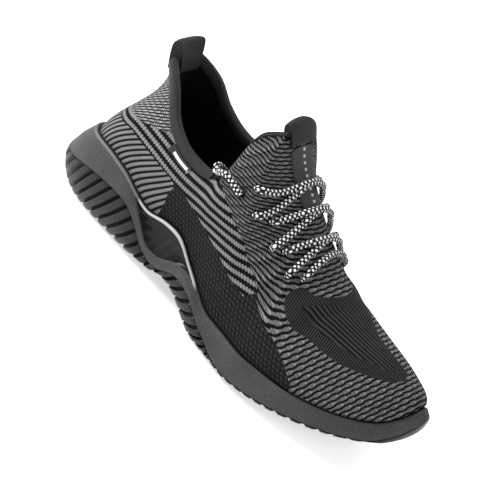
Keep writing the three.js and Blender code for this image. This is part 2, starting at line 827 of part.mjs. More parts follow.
function bindingRing(side, at) {
  const share = tapeShare(side, at);
  const low = upperPoint(side, at, share);
  const lowNormal = sideNormal(side, at, share);
  const top = upperPoint(side, at, 1);
  const topNormal = sideNormal(side, at, 1);
  const up = edgeUp(side, at);
  const from = (point, normal, out, rise = 0) => plus(plus(point, normal, out), up, rise);
  const outside = bindingGap + bindingTape;
  const inside = -upperWall - bindingGap - bindingTape;
  return [
    from(low, lowNormal, bindingGap),
    from(low, lowNormal, outside),
    from(top, topNormal, outside, 0),
    from(top, topNormal, mix(outside, -upperWall / 2, bindingShoulder), bindingGap + bindingTape),
    from(top, topNormal, mix(inside, -upperWall / 2, bindingShoulder), bindingGap + bindingTape),
    from(top, topNormal, inside, 0),
    from(low, lowNormal, inside),
    from(low, lowNormal, -upperWall - bindingGap),
    from(top, topNormal, -upperWall - bindingGap, bindingGap),
    from(top, topNormal, bindingGap, bindingGap),
  ];
}

function collarBinding() {
  const places = collarPlaces.slice(0, bindingEndColumn + 1);
  const lateral = places.slice(1).reverse().map((at) => bindingRing(LATERAL, at));
  const medial = places.map((at) => bindingRing(MEDIAL, at));
  return ringSolid([...lateral, ...medial], true);
}

// A strap folded over the edge of the wall: up one face, over a round crest and down the other
const crestFootReach = 0.9;
const crestFootRise = 0.5;
const crestReach = 0.6;
const crestRise = 0.9;

function strapRing(legs, up, halfGap, rise, strap) {
  const { low, lowNormal, bend, bendNormal, top, topNormal } = legs;
  const middle = (point, normal) => plus(point, normal, -upperWall / 2);
  const line = (reach) => [
    plus(middle(low, lowNormal), lowNormal, reach),
    plus(middle(bend, bendNormal), bendNormal, reach),
    plus(middle(top, topNormal), topNormal, reach),
    plus(plus(middle(top, topNormal), topNormal, reach * crestFootReach), up, rise * crestFootRise),
  ];
  const crest = (reach, height) => plus(plus(middle(top, topNormal), topNormal, reach), up, height);
  const outer = halfGap + strap;
  const outerLine = [
    ...line(outer), crest(outer * crestReach, rise * crestRise), crest(0, rise),
    crest(-outer * crestReach, rise * crestRise), ...line(-outer).reverse(),
  ];
  const innerLine = [
    ...line(halfGap), crest(halfGap * crestReach, rise * crestRise - strap), crest(0, rise - strap),
    crest(-halfGap * crestReach, rise * crestRise - strap), ...line(-halfGap).reverse(),
  ];
  return [...outerLine, ...innerLine.reverse()];
}

// Heel loop: a strap over the back of the collar, with room for a finger above the edge
const strapReach = upperWall / 2 + bindingGap + bindingTape + strapGap;

function heelLoopRing(side, at) {
  const lowShare = shareBelowTop(side, at, heelLoopLeg);
  const bendShare = tapeShare(side, at);
  const top = upperPoint(side, at, 1);
  const legs = {
    low: upperPoint(side, at, lowShare),
    lowNormal: sideNormal(side, at, lowShare),
    bend: upperPoint(side, at, bendShare),
    bendNormal: sideNormal(side, at, bendShare),
    top,
    topNormal: sideNormal(side, at, 1),
  };
  return strapRing(legs, edgeUp(side, at), strapReach, heelLoopRise, strapThickness);
}

function heelLoop() {
  const places = collarPlaces.slice(0, heelLoopColumns + 1);
  const lateral = places.slice(1).reverse().map((at) => heelLoopRing(LATERAL, at));
  const medial = places.map((at) => heelLoopRing(MEDIAL, at));
  return ringSolid([...lateral, ...medial], true);
}

// A point of the outer face on the front of the shoe, at a distance over the skin from its
// ridge. It lies on the straight line between two columns of the upper, as its faces do.
function skinPoint(side, at, across) {
  const column = clamp((at - tongueAt) / (1 - tongueAt), 0, 1) * ridgeColumnCount;
  const before = Math.floor(column);
  const after = Math.min(before + 1, ridgeColumnCount);
  const start = ribPointAcross(side, ridgePlaces[before], across);
  return plus(start, minus(ribPointAcross(side, ridgePlaces[after], across), start), column - before);
}

function ribPointAcross(side, at, across) {
  const points = wholeRib(side, at);
  const step = 0.01;
  let v = 1;
  let walked = 0;
  let last = bezier(points, 1);
  while (v > 0) {
    const next = bezier(points, v - step);
    const stride = Math.hypot(...minus(next, last));
    if (walked + stride >= across) return plus(last, minus(next, last), (across - walked) / stride);
    walked += stride;
    v -= step;
    last = next;
  }
  return last;
}

const ridgeReach = 0.5;
const skinStep = 0.4;

function skinNormal(side, at, across) {
  if (across < ridgeReach) return middleNormal(side, at, 1);
  const alongStep = minus(skinPoint(side, at + probe, across), skinPoint(side, at - probe, across));
  const acrossStep = minus(skinPoint(side, at, across - skinStep), skinPoint(side, at, across + skinStep));
  const normal = unit(cross(alongStep, acrossStep));
  return side === LATERAL ? normal : normal.map((value) => -value);
}

// The same, with the distance counted from the lateral (negative) to the medial side
function onSkin(at, across, lift) {
  const side = across < 0 ? LATERAL : MEDIAL;
  const reach = Math.abs(across);
  return plus(skinPoint(side, at, reach), skinNormal(side, at, reach), lift);
}

// Tongue loop: a wide strap folded over the top edge of the tongue
function tongueLoopRing(across) {
  const side = across < 0 ? LATERAL : MEDIAL;
  const reach = Math.abs(across);
  const place = (share) => {
    const at = mix(tongueAt, tongueLoopEnd, share);
    return [skinPoint(side, at, reach), skinNormal(side, Math.max(at, tongueAt + probe), reach)];
  };
  const [low, lowNormal] = place(1);
  const [bend, bendNormal] = place(0.5);
  const [top, topNormal] = place(0);
  const up = unit(minus(top, bend));
  const legs = { low, lowNormal, bend, bendNormal, top, topNormal };
  return strapRing(legs, up, upperWall / 2 + strapGap + gap, tongueLoopRise, strapThickness);
}

function tongueLoop() {
  const half = tongueLoopWidth / 2;
  const stations = [-1, -2 / 3, -1 / 3, 0, 1 / 3, 2 / 3, 1];
  return ringSolid(stations.map((share) => tongueLoopRing(share * half)), false);
}

// A thin patch laid on the skin between two places and two distances
function patch(pointAt, rows, columns, from, to) {
  const rings = [];
  for (let i = 0; i <= columns; i += 1) {
    const over = [];
    const under = [];
    for (let j = 0; j <= rows; j += 1) {
      over.push(pointAt(i / columns, j / rows, to));
      under.push(pointAt(i / columns, j / rows, from));
    }
    rings.push([...over, ...under.reverse()]);
  }
  return rings;
}

// Label: a woven tape down the middle of the tongue, under the laces
const labelRows = 6;
const labelColumns = 6;

function tongueLabel() {
  const pointAt = (s, w, lift) => {
    const at = mix(labelStart, labelEnd, s);
    const half = mix(labelWidth, labelEndWidth, s) / 2;
    return onSkin(at, mix(-half, half, w), lift);
  };
  return ringSolid(patch(pointAt, labelRows, labelColumns, labelGap, labelGap + labelThickness), false);
}

// Side tag: a small woven tab under the binding on the lateral side
const tagRows = 2;
const tagColumns = 5;

function sideTag() {
  const pointAt = (s, w, lift) => {
    const at = mix(tagStart, tagEnd, s);
    const top = shareBelowTop(LATERAL, at, bindingWidth + tagClearance);
    const low = shareBelowTop(LATERAL, at, bindingWidth + tagClearance + tagHeight);
    const v = mix(top, low, w);
    return plus(upperPoint(LATERAL, at, v), sideNormal(LATERAL, at, v), lift);
  };
  return ringSolid(patch(pointAt, tagRows, tagColumns, gap, gap + labelThickness), true);
}

// Laces: the rows of holes below the top pair, as distances over the skin from the ridge
const laceHoles = [
  { at: 0.532, across: 54 },
  { at: 0.552, across: 57 },
  { at: 0.583, across: 39 },
  { at: 0.603, across: 45 },
  { at: 0.625, across: 34 },
  { at: 0.650, across: 37 },
  { at: 0.675, across: 26 },
];
const crossings = [
  { low: 1, high: 0, bow: 0.049 },
  { low: 3, high: 2, bow: 0.029 },
  { low: 5, high: 4, bow: 0.018 },
];

const overlapLift = 0.35;
const humpPower = 4;
const labelMargin = 5;
const laceSides = 16;
const laceEndRuns = 4;
const laceCorner = 0.8;

// A run lies on the skin and climbs over the label in the middle.
function laceRun(from, to, bow, lift) {
  const points = evenPlaces(laceSteps).map((share) => {
    const at = mix(from.at, to.at, share) + bow * Math.sin(Math.PI * share);
    const across = mix(-from.across, to.across, share);
    const onLabel = smooth((tongueWidth / 2 + labelMargin - Math.abs(across)) / labelMargin);
    const overLabel = (labelThickness + labelGap) * onLabel;
    const hump = lift * Math.sin(Math.PI * share) ** humpPower;
    return new THREE.Vector3(...onSkin(at, across, laceDiameter / 2 + laceGap + overLabel + hump));
  });
  return tube(points, laceDiameter, laceSteps);
}

function tube(points, diameter, steps) {
  const section = new THREE.Shape(
    new THREE.Path().absarc(0, 0, diameter / 2, 0, Math.PI * 2).getPoints(laceSides / 4).slice(0, -1),
  );
  const extrudePath = new THREE.CatmullRomCurve3(points);
  const geometry = new THREE.ExtrudeGeometry(section, { steps, extrudePath, bevelEnabled: false });
  geometry.deleteAttribute('normal');
  geometry.deleteAttribute('uv');
  return mergeVertices(geometry, 1e-3);
}

function laceCrossing({ low, high, bow }) {
  const under = toManifold(laceRun(laceHoles[low], laceHoles[high], bow, 0));
  const over = toManifold(laceRun(laceHoles[high], laceHoles[low], bow, laceDiameter * overlapLift));
  return fromManifold(under.add(over));
}

// The end of the lace comes out of the top hole and goes over the collar to the inside.
const laceEndHole = { at: 0.510, v: 0.583 };
const laceEndEdge = 0.385;
const laceEndDrop = 13;

function laceEnd() {
  const radius = laceDiameter / 2;
  const overTape = radius + bindingGap + bindingTape + laceGap + gap;
  const face = (at, v, lift) => plus(upperPoint(LATERAL, at, v), sideNormal(LATERAL, at, v), lift);
  const points = evenPlaces(laceEndRuns).slice(0, -1).map((share) => {
    const at = mix(laceEndHole.at, laceEndEdge, share);
    const v = mix(laceEndHole.v, 1, share);
    return face(at, v, mix(radius + gap, overTape, share));
  });
  const up = edgeUp(LATERAL, laceEndEdge);
  const low = shareBelowTop(LATERAL, laceEndEdge, laceEndDrop);
  const corner = overTape * laceCorner;
  points.push(face(laceEndEdge, 1, overTape));
  points.push(plus(face(laceEndEdge, 1, corner), up, corner));
  points.push(plus(face(laceEndEdge, 1, -upperWall / 2), up, overTape + gap));
  points.push(plus(face(laceEndEdge, 1, -upperWall - corner), up, corner));
  points.push(face(laceEndEdge, 1, -upperWall - overTape));
  points.push(face(laceEndEdge, (1 + low) / 2, -upperWall - overTape));
  points.push(face(laceEndEdge, low, -upperWall - overTape));
  return tube(points.map((point) => new THREE.Vector3(...point)), laceDiameter, laceSteps * 2);
}

// Arch inserts: a dark lens in a pocket of the midsole's wall on each side. "low" and "high"
// are shares of the wall between the ribs and the rim.
const insertRows = [
  { at: 0.290, low: 0.86, high: 0.92 },
  { at: 0.320, low: 0.45, high: 0.93 },
  { at: 0.350, low: 0.20, high: 0.93 },
  { at: 0.380, low: 0.20, high: 0.92 },
  { at: 0.410, low: 0.32, high: 0.90 },
  { at: 0.440, low: 0.54, high: 0.88 },
  { at: 0.465, low: 0.78, high: 0.86 },
];
const insertColumns = 10;
const insertLines = 3;

function midsoleWallPoint(side, at, share, depth) {
  const inset = rimInsetAt(at);
  const belly = inset * bellyShare;
  const out = share < 0.5 ? mix(shoulderInset, belly, share * 2) : mix(belly, inset, share * 2 - 1);
  const [x, y] = insetPoint(side, at, out + depth);
  return [x, y, mix(ribLine(at) + shoulderGap, rimLine(at) - rimEase, share)];
}

function lensRings(side, spread, front, back) {
  const first = insertRows[0].at;
  const last = insertRows[insertRows.length - 1].at;
  const ends = spread / halfPerimeter;
  return evenPlaces(insertColumns, first - ends, last + ends).map((at) => {
    const wall = rimLine(at) - ribLine(at);
    const low = rowCurve(insertRows, 'low', at) - spread / wall;
    const high = rowCurve(insertRows, 'high', at) + spread / wall;
    const line = (depth) => evenPlaces(insertLines, low, high)
      .map((share) => midsoleWallPoint(side, at, share, depth));
    return [...line(front), ...line(back).reverse()];
  });
}

const archInsert = (side) =>
  ringSolid(lensRings(side, 0, insertRecess, insertRecess + insertThickness), side === MEDIAL);

function midsole() {
  let solid = toManifold(slabGeometry(midsoleColumn, midsolePlaces));
  for (const side of sides) {
    const depth = insertRecess + insertThickness + pocketClearance;
    const pocket = ringSolid(lensRings(side, pocketClearance, -trayWall, depth), side === MEDIAL);
    solid = solid.subtract(toManifold(pocket));
  }
  return fromManifold(solid);
}

// Insole: fills the inside of the upper over the foot bed
const insoleRound = 1.1;
const distance = (a, b) => Math.hypot(a[0] - b[0], a[1] - b[1]);

function insoleColumn(side, at) {
  const inset = rimInsetAt(at) + rimThickness + footGap + upperWall + insoleGap;
  const spine = spinePoint(at);
  const edge = insetPoint(side, at, inset);
  const shoulder = insetPoint(side, at, inset + insoleRound);
  const bedEdge = insetPoint(side, at, rimInsetAt(at) + rimThickness);
  const share = distance(edge, spine) / distance(bedEdge, spine);
  const spineBed = bedHeight(spine[0] / soleLength) + gap;
  const edgeBed = mix(spineBed, bedHeight(bedEdge[0] / soleLength) + gap, share);
  return [
    [...spine, spineBed],
    [...edge, edgeBed],
    [...edge, edgeBed + insoleThickness],
    [...shoulder, edgeBed + insoleThickness + insoleRound],
    [...spine, spineBed + insoleThickness],
  ];
}

const colours = {
  rubber: 0x1b1b1d,
  foam: 0x4a4a4d,
  knit: 0x2c2c2e,
  lining: 0x17171a,
  tape: 0x1a1a1c,
  lace: 0x8c8c8c,
};

function material(colour, roughness) {
  return new THREE.MeshStandardMaterial({ color: colour, roughness, metalness: 0 });
}

// Every piece is moved so that the origin is on the ground under the heel.
function part(name, geometry, colour, roughness) {
  geometry.translate(-heelRestAlong * soleLength, 0, 0);
  const mesh = new THREE.Mesh(geometry, material(colour, roughness));
  mesh.name = name;
  return mesh;
}

const shoe = new THREE.Group();
shoe.add(part('outsole', outsole(), colours.rubber, 0.6));
shoe.add(part('midsole', midsole(), colours.foam, 0.7));
shoe.add(part('arch_insert_lateral', archInsert(LATERAL), colours.rubber, 0.4));
shoe.add(part('arch_insert_medial', archInsert(MEDIAL), colours.rubber, 0.4));
shoe.add(part('insole', slabGeometry(insoleColumn, midsolePlaces), colours.lining, 0.9));
shoe.add(part('upper', upper(), colours.knit, 0.9));
shoe.add(part('collar_binding', collarBinding(), colours.tape, 0.5));
shoe.add(part('heel_pull_loop', heelLoop(), colours.tape, 0.5));
shoe.add(part('tongue_pull_loop', tongueLoop(), colours.tape, 0.5));
shoe.add(part('tongue_label', tongueLabel(), colours.tape, 0.7));
shoe.add(part('side_tag', sideTag(), colours.tape, 0.7));
const lastHole = laceHoles[laceHoles.length - 1];
shoe.add(part('lace_bar', laceRun(lastHole, lastHole, 0, barGap - laceGap), colours.lace, 0.8));
crossings.forEach((crossing, i) => {
  shoe.add(part(`lace_crossing_${i + 1}`, laceCrossing(crossing), colours.lace, 0.8));
});
shoe.add(part('lace_end_lateral', laceEnd(), colours.lace, 0.8));

export default shoe;
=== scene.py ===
"""The right shoe of a pair of low knitted safety shoes, dressed and standing on a pale floor.

Sizes are millimetres in the frame that the part is drawn in: x = 0 at the back of the sole, +X to
the toe, +Y to the inner (medial) side, z = 0 on the ground. to_frame() turns them into metres
with the origin under the heel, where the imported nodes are. A place on the shoe is given by its
side and by "at", which runs from 0 at the middle of the heel to 1 at the tip of the toe.
"""
import math

import bmesh
import bpy
import numpy as np
from mathutils import Matrix, Vector


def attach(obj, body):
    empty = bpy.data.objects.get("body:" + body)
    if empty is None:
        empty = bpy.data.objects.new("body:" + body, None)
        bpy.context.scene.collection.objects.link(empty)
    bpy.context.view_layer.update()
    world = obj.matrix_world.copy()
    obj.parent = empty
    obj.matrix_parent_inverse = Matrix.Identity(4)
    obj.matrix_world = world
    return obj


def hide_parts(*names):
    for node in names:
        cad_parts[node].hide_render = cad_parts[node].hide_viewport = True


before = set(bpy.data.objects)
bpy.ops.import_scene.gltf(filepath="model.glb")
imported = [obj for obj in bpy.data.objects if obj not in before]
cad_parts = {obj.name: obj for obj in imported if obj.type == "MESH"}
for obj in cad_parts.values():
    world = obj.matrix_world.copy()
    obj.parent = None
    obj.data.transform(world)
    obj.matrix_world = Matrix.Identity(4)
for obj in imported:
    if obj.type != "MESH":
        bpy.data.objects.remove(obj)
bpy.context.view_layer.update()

# Driving sizes of the last and the sole
SOLE_LENGTH = 294
BALL_WIDTH = 106
HEEL_WIDTH = 79
HEEL_RIM_HEIGHT = 45
COLLAR_BACK_HEIGHT = 112
COLLAR_WIDTH = 62
TONGUE_HEIGHT = 139
TONGUE_WIDTH = 28
TOE_BOX_HEIGHT = 62
TOE_SPRING = 27
ARCH_LIFT = 8
HEEL_BEVEL = 7
HEEL_REST_ALONG = 0.18

# Walls, layers and clearances
GAP = 0.3
UPPER_WALL = 2.4
RIM_THICKNESS = 2.6
RIM_INSET = 5
HEEL_RIM_INSET = 11
TREAD_THICKNESS = 4
TRAY_WALL = 5
TRAY_EASE = 1
TRAY_GAP = 0.9
SHOULDER_GAP = 0.6
INSOLE_THICKNESS = 4.5
INSOLE_GAP = 0.8
FOOT_GAP = 0.5
HALF_PERIMETER = 352

# Trimmings
BINDING_WIDTH = 5.5
BINDING_TAPE = 0.8
BINDING_GAP = 0.55
BINDING_END = 0.375
STRAP_THICKNESS = 1.2
STRAP_GAP = 0.7
HEEL_LOOP_END = 0.044
HEEL_LOOP_LEG = 8
HEEL_LOOP_RISE = 11.5
TONGUE_LOOP_WIDTH = 28
TONGUE_LOOP_RISE = 4
TONGUE_LOOP_END = 0.547
LABEL_THICKNESS = 0.7
LABEL_GAP = 0.6
LABEL_START = 0.551
LABEL_END = 0.622
LABEL_WIDTH = 25
LABEL_END_WIDTH = 20
LABEL_LENGTH = 34
LABEL_DOT_PITCH = 3.4
TAG_START = 0.243
TAG_END = 0.318
TAG_HEIGHT = 5
TAG_LENGTH = 22
TAG_CLEARANCE = 0.4
LACE_DIAMETER = 4.4

LATERAL = -1
MEDIAL = 1
SIDES = (LATERAL, MEDIAL)
PROBE = 0.004


def table(names, rows):
    """A short table with named columns, one row for each section."""
    return {name: np.array([row[i] for row in rows], float) for i, name in enumerate(names)}


def row_curve(rows, key, at, flat_ends=False):
    """Reads a table by a smooth curve through its rows."""
    places, values = rows["at"], rows[key]
    last = len(places) - 1
    before = np.maximum(np.arange(last + 1) - 1, 0)
    after = np.minimum(np.arange(last + 1) + 1, last)
    slopes = (values[after] - values[before]) / (places[after] - places[before])
    if flat_ends:
        slopes[0] = slopes[last] = 0
    place = np.clip(at, places[0], places[last])
    i = np.searchsorted(places[1:-1], place, side="left")
    span = places[i + 1] - places[i]
    s = (place - places[i]) / span
    rise = s * s * (3 - 2 * s)
    from_start = s * (1 - s) ** 2 * span * slopes[i]
    from_end = s * s * (s - 1) * span * slopes[i + 1]
    return values[i] * (1 - rise) + values[i + 1] * rise + from_start + from_end


def mix(a, b, share):
    return a + (b - a) * share


def smooth(value):
    s = np.clip(value, 0, 1)
    return s * s * (3 - 2 * s)


def length_of(vectors):
    return np.sqrt((vectors**2).sum(-1, keepdims=True))


def unit(vectors):
    return vectors / np.maximum(length_of(vectors), 1e-9)


# The sole's widest outline: "along" is a share of the sole's length, and the two sides are
# shares of half the heel's or the ball's width.
OUTLINE = table(
    ("at", "along", "lateral", "medial"),
    [
        (0.00, 0.000, 0.00, 0.00),
        (0.05, 0.010, 0.42, 0.42),
        (0.10, 0.046, 0.745, 0.745),
        (0.17, 0.112, 0.94, 0.93),
        (0.27, 0.219, 1.00, 0.95),
        (0.37, 0.337, 0.965, 0.80),
        (0.47, 0.449, 0.885, 0.65),
        (0.57, 0.556, 0.93, 0.72),
        (0.67, 0.663, 0.99, 0.92),
        (0.77, 0.770, 0.92, 1.00),
        (0.86, 0.878, 0.69, 0.90),
        (0.93, 0.950, 0.39, 0.71),
        (0.97, 0.985, 0.13, 0.48),
        (1.00, 1.000, -0.14, 0.14),
    ],
)
HEEL_PART_END = 0.30
BALL_PART_START = 0.55


def along_at(at):
    return row_curve(OUTLINE, "along", at, True)


AT_SAMPLES = np.linspace(0, 1, 4001)
ALONG_SAMPLES = along_at(AT_SAMPLES)


def at_for_along(along):
    return np.interp(along, ALONG_SAMPLES, AT_SAMPLES)


def half_width_at(along):
    share = smooth((along - HEEL_PART_END) / (BALL_PART_START - HEEL_PART_END))
    return mix(HEEL_WIDTH, BALL_WIDTH, share) / 2


def fold(side, at):
    """A place past either end goes on round the other side of the shoe."""
    side, at = np.broadcast_arrays(np.asarray(side, float), np.asarray(at, float))
    past = (at < 0) | (at > 1)
    return np.where(past, -side, side), np.where(at < 0, -at, np.where(at > 1, 2 - at, at))


def outline_point(side, at):
    side, at = fold(side, at)
    along = along_at(at)
    lateral = row_curve(OUTLINE, "lateral", at)
    medial = row_curve(OUTLINE, "medial", at)
    share = np.where(side < 0, lateral, medial)
    return np.stack([along * SOLE_LENGTH, side * share * half_width_at(along)], -1)


def outline_normal(side, at):
    step = outline_point(side, at + PROBE) - outline_point(side, at - PROBE)
    step = unit(step)
    side = np.asarray(side, float)
    return np.stack([-side * step[..., 1], side * step[..., 0]], -1)


def inset_point(side, at, distance):
    """The outline moved inward by a distance."""
    distance = np.asarray(distance, float)[..., None]
    return outline_point(side, at) - outline_normal(side, at) * distance


# Heights of the sole above the ground
HEEL_CONTACT_START = 0.11
ARCH_START = 0.28
ARCH_END = 0.54
TOE_SPRING_START = 0.64
TOE_SPRING_POWER = 1.35


def bottom_height(along):
    back = np.clip(1 - along / HEEL_CONTACT_START, 0, 1)
    arch = np.clip((along - ARCH_START) / (ARCH_END - ARCH_START), 0, 1)
    toe = np.clip((along - TOE_SPRING_START) / (1 - TOE_SPRING_START), 0, 1)
    arch_curve = np.sin(math.pi * arch) ** 2
    return HEEL_BEVEL * back**2 + ARCH_LIFT * arch_curve + TOE_SPRING * toe**TOE_SPRING_POWER


# Heights above the local bottom as shares of the rim's height at the heel: "ribs" is the line
# where the black ribs end, and "rim" is the top edge of the grey wall.
WALL = table(
    ("at", "ribs", "rim"),
    [
        (0.00, 0.155, 0.735),
        (0.09, 0.38, 0.89),
        (0.165, 0.60, 1.02),
        (0.24, 0.69, 0.98),
        (0.285, 0.675, 0.87),
        (0.32, 0.54, 0.80),
        (0.36, 0.27, 0.83),
        (0.40, 0.15, 0.76),
        (0.45, 0.30, 0.55),
        (0.51, 0.36, 0.46),
        (0.57, 0.24, 0.45),
        (0.62, 0.11, 0.45),
        (0.70, 0.09, 0.44),
        (0.78, 0.09, 0.37),
        (0.86, 0.09, 0.32),
        (0.93, 0.10, 0.33),
        (0.965, 0.24, 0.43),
        (1.00, 0.48, 0.60),
    ],
)
BED = table(
    ("at", "height"),
    [(0.00, 0.56), (0.25, 0.58), (0.45, 0.46), (0.65, 0.31), (1.00, 0.27)],
)


def rib_line(at):
    return bottom_height(along_at(at)) + HEEL_RIM_HEIGHT * row_curve(WALL, "ribs", at, True)


def rim_line(at):
    return bottom_height(along_at(at)) + HEEL_RIM_HEIGHT * row_curve(WALL, "rim", at, True)


def bed_height(along):
    return bottom_height(along) + HEEL_RIM_HEIGHT * row_curve(BED, "height", along, True)


FLARE_END = 0.17
HEEL_FAN_CENTRE = 0.15
TOE_FAN_CENTRE = 0.84


def rim_inset_at(at):
    return mix(HEEL_RIM_INSET, RIM_INSET, smooth(at / FLARE_END))


def spine_point(at):
    """Half columns of the sole run from its spine to its edge; at heel and toe they fan out."""
    along = np.clip(along_at(at), HEEL_FAN_CENTRE, TOE_FAN_CENTRE)
    row_at = at_for_along(along)
    lateral = outline_point(LATERAL, row_at)
    medial = outline_point(MEDIAL, row_at)
    return np.stack([along * SOLE_LENGTH, (lateral[..., 1] + medial[..., 1]) / 2], -1)


def raised(flat, height):
    """Points of the plan at a height."""
    height = np.broadcast_to(height, flat.shape[:-1])
    return np.concatenate([flat, height[..., None]], -1)


# The upper's collar, ridge and wall
TONGUE_AT = 0.53
COLLAR = table(
    ("at", "along", "across", "height"),
    [
        (0.00, 0.100, 0.00, 1.00),
        (0.05, 0.105, 0.42, 1.00),
        (0.10, 0.129, 0.60, 0.98),
        (0.15, 0.168, 0.78, 0.93),
        (0.20, 0.213, 0.90, 0.84),
        (0.26, 0.265, 0.98, 0.785),
        (0.32, 0.316, 1.02, 0.775),
        (0.37, 0.357, 1.04, 0.80),
        (0.41, 0.377, 0.98, 0.87),
        (0.45, 0.379, 0.87, 0.99),
        (0.49, 0.381, 0.70, 1.13),
    ],
)
# "height" lies between the toe box (0) and the tongue (1).
RIDGE = table(
    ("at", "along", "height"),
    [
        (0.53, 0.413, 1.00),
        (0.57, 0.464, 0.74),
        (0.62, 0.541, 0.52),
        (0.67, 0.617, 0.325),
        (0.72, 0.684, 0.19),
        (0.77, 0.745, 0.11),
        (0.82, 0.801, 0.058),
        (0.87, 0.847, 0.030),
        (0.93, 0.878, 0.010),
        (1.00, 0.893, 0.000),
    ],
)
# How the wall leaves the rim and meets the top: shares of the wall's height and width
BODY = table(
    ("at", "rise", "bulge", "drop", "flare", "crown"),
    [
        (0.00, 0.36, -0.08, 0.36, -0.18, 0.45),
        (0.06, 0.36, -0.06, 0.36, -0.14, 0.45),
        (0.12, 0.36, 0.01, 0.36, -0.05, 0.45),
        (0.20, 0.36, 0.09, 0.35, 0.05, 0.45),
        (0.32, 0.36, 0.10, 0.35, 0.10, 0.50),
        (0.42, 0.36, 0.08, 0.35, 0.16, 0.50),
        (0.53, 0.40, 0.04, 0.35, 0.20, 0.86),
        (0.58, 0.42, 0.05, 0.35, 0.20, 0.55),
        (0.64, 0.47, 0.06, 0.35, 0.20, 0.43),
        (0.72, 0.55, 0.10, 0.35, 0.20, 0.48),
        (0.85, 0.62, 0.12, 0.35, 0.20, 0.52),
        (1.00, 0.62, 0.14, 0.35, 0.20, 0.55),
    ],
)
TOE_SWING = 5
COLLAR_SWING = 2.5
COLLAR_SWING_START = 0.10
COLLAR_SWING_WIDTH = 0.16
TOE_PANEL_WIDTH = 2
TONGUE_BLEND_START = 0.36
TOE_BLEND_START = 0.80
TOE_BLEND_WIDTH = 0.12


def toe_share(at):
    return smooth((at - TONGUE_AT) / (1 - TONGUE_AT))


def ridge_point(at):
    at = np.asarray(at, float)
    height = mix(TOE_BOX_HEIGHT, TONGUE_HEIGHT, row_curve(RIDGE, "height", at))
    return np.stack([row_curve(RIDGE, "along", at) * SOLE_LENGTH, TOE_SWING * toe_share(at), height], -1)


def body(key, at):
    return row_curve(BODY, key, at, True)[..., None]


def footprint(side, at):
    return inset_point(side, at, rim_inset_at(at) + RIM_THICKNESS + FOOT_GAP)


def bezier(ribs, v):
    """Points on ribs of four control points each."""
    v = np.asarray(v, float)[..., None]
    u = 1 - v
    a, b, c, d = (ribs[..., i, :] for i in range(4))
    return u**3 * a + 3 * u * u * v * b + 3 * u * v * v * c + v**3 * d


def ridge_step(at):
    return ridge_point(np.minimum(at + PROBE, 1)) - ridge_point(np.maximum(at - PROBE, TONGUE_AT))


def whole_rib(side, at):
    """From the rim over the side to the ridge"""
    foot = raised(footprint(side, at), rim_line(at))
    top = ridge_point(at)
    normal = outline_normal(side, at)
    height = (top - foot)[..., 2:]
    flat = (foot - top)[..., :2]
    reach = length_of(flat)
    way = flat / reach
    step = ridge_step(at)
    slope = step[..., 2:] / np.maximum(step[..., :1], 1e-9)
    sideways = smooth((at - TOE_BLEND_START) / TOE_BLEND_WIDTH)[..., None]
    dx = way[..., :1] * sideways
    at_tip = (at > 0.999)[..., None]
    dy = np.where(at_tip, 0, side * np.sqrt(1 - dx * dx))
    crown = body("crown", at) * reach
    bulge = body("bulge", at) * height
    leave = np.concatenate([normal * bulge, body("rise", at) * height], -1)
    arrive = np.concatenate([dx, mix(dy, way[..., 1:], sideways), slope * dx], -1) * crown
    return np.stack([foot, foot + leave, top + arrive, top], -2)


def rib_part(ribs, v):
    """The first part of each rib, up to the share v"""
    v = np.asarray(v, float)[..., None]
    a, b, c, d = (ribs[..., i, :] for i in range(4))
    ab, bc, cd = mix(a, b, v), mix(b, c, v), mix(c, d, v)
    abc, bcd = mix(ab, bc, v), mix(bc, cd, v)
    return np.stack([a, ab, abc, mix(abc, bcd, v)], -2)


def share_at_width(ribs, half_width):
    """Where a rib reaches a distance from the ridge"""
    middle = ribs[..., 3, 1]
    low = np.zeros(middle.shape)
    high = np.ones(middle.shape)
    for _ in range(26):
        v = (low + high) / 2
        outside = np.abs(bezier(ribs, v)[..., 1] - middle) > half_width
        low, high = np.where(outside, v, low), np.where(outside, high, v)
    return (low + high) / 2


def centre_half_width(at):
    return mix(TONGUE_WIDTH, TOE_PANEL_WIDTH, toe_share(at)) / 2


def tongue_corner(side):
    ribs = whole_rib(side, np.array(TONGUE_AT))
    return rib_part(ribs, share_at_width(ribs, TONGUE_WIDTH / 2))


CORNERS = {side: tongue_corner(side) for side in SIDES}


def top_line(side, at):
    """The collar's edge, from the heel to the tongue's corner"""
    corner = CORNERS[side][3]
    swing = COLLAR_SWING * (1 - smooth((COLLAR["at"] - COLLAR_SWING_START) / COLLAR_SWING_WIDTH))
    columns = (
        COLLAR["along"] * SOLE_LENGTH,
        side * COLLAR["across"] * COLLAR_WIDTH / 2 + swing,
        COLLAR["height"] * COLLAR_BACK_HEIGHT,
    )
    rows = {"at": np.append(COLLAR["at"], TONGUE_AT)}
    for name, column, end in zip("xyz", columns, corner):
        rows[name] = np.append(column, end)
    at = np.asarray(at, float)
    near_heel = at < rows["at"][1]
    x = np.where(near_heel, row_curve(rows, "x", at, True), row_curve(rows, "x", at))
    z = np.where(near_heel, row_curve(rows, "z", at, True), row_curve(rows, "z", at))
    y = row_curve(rows, "y", at)
    return np.stack([x, y, z], -1)


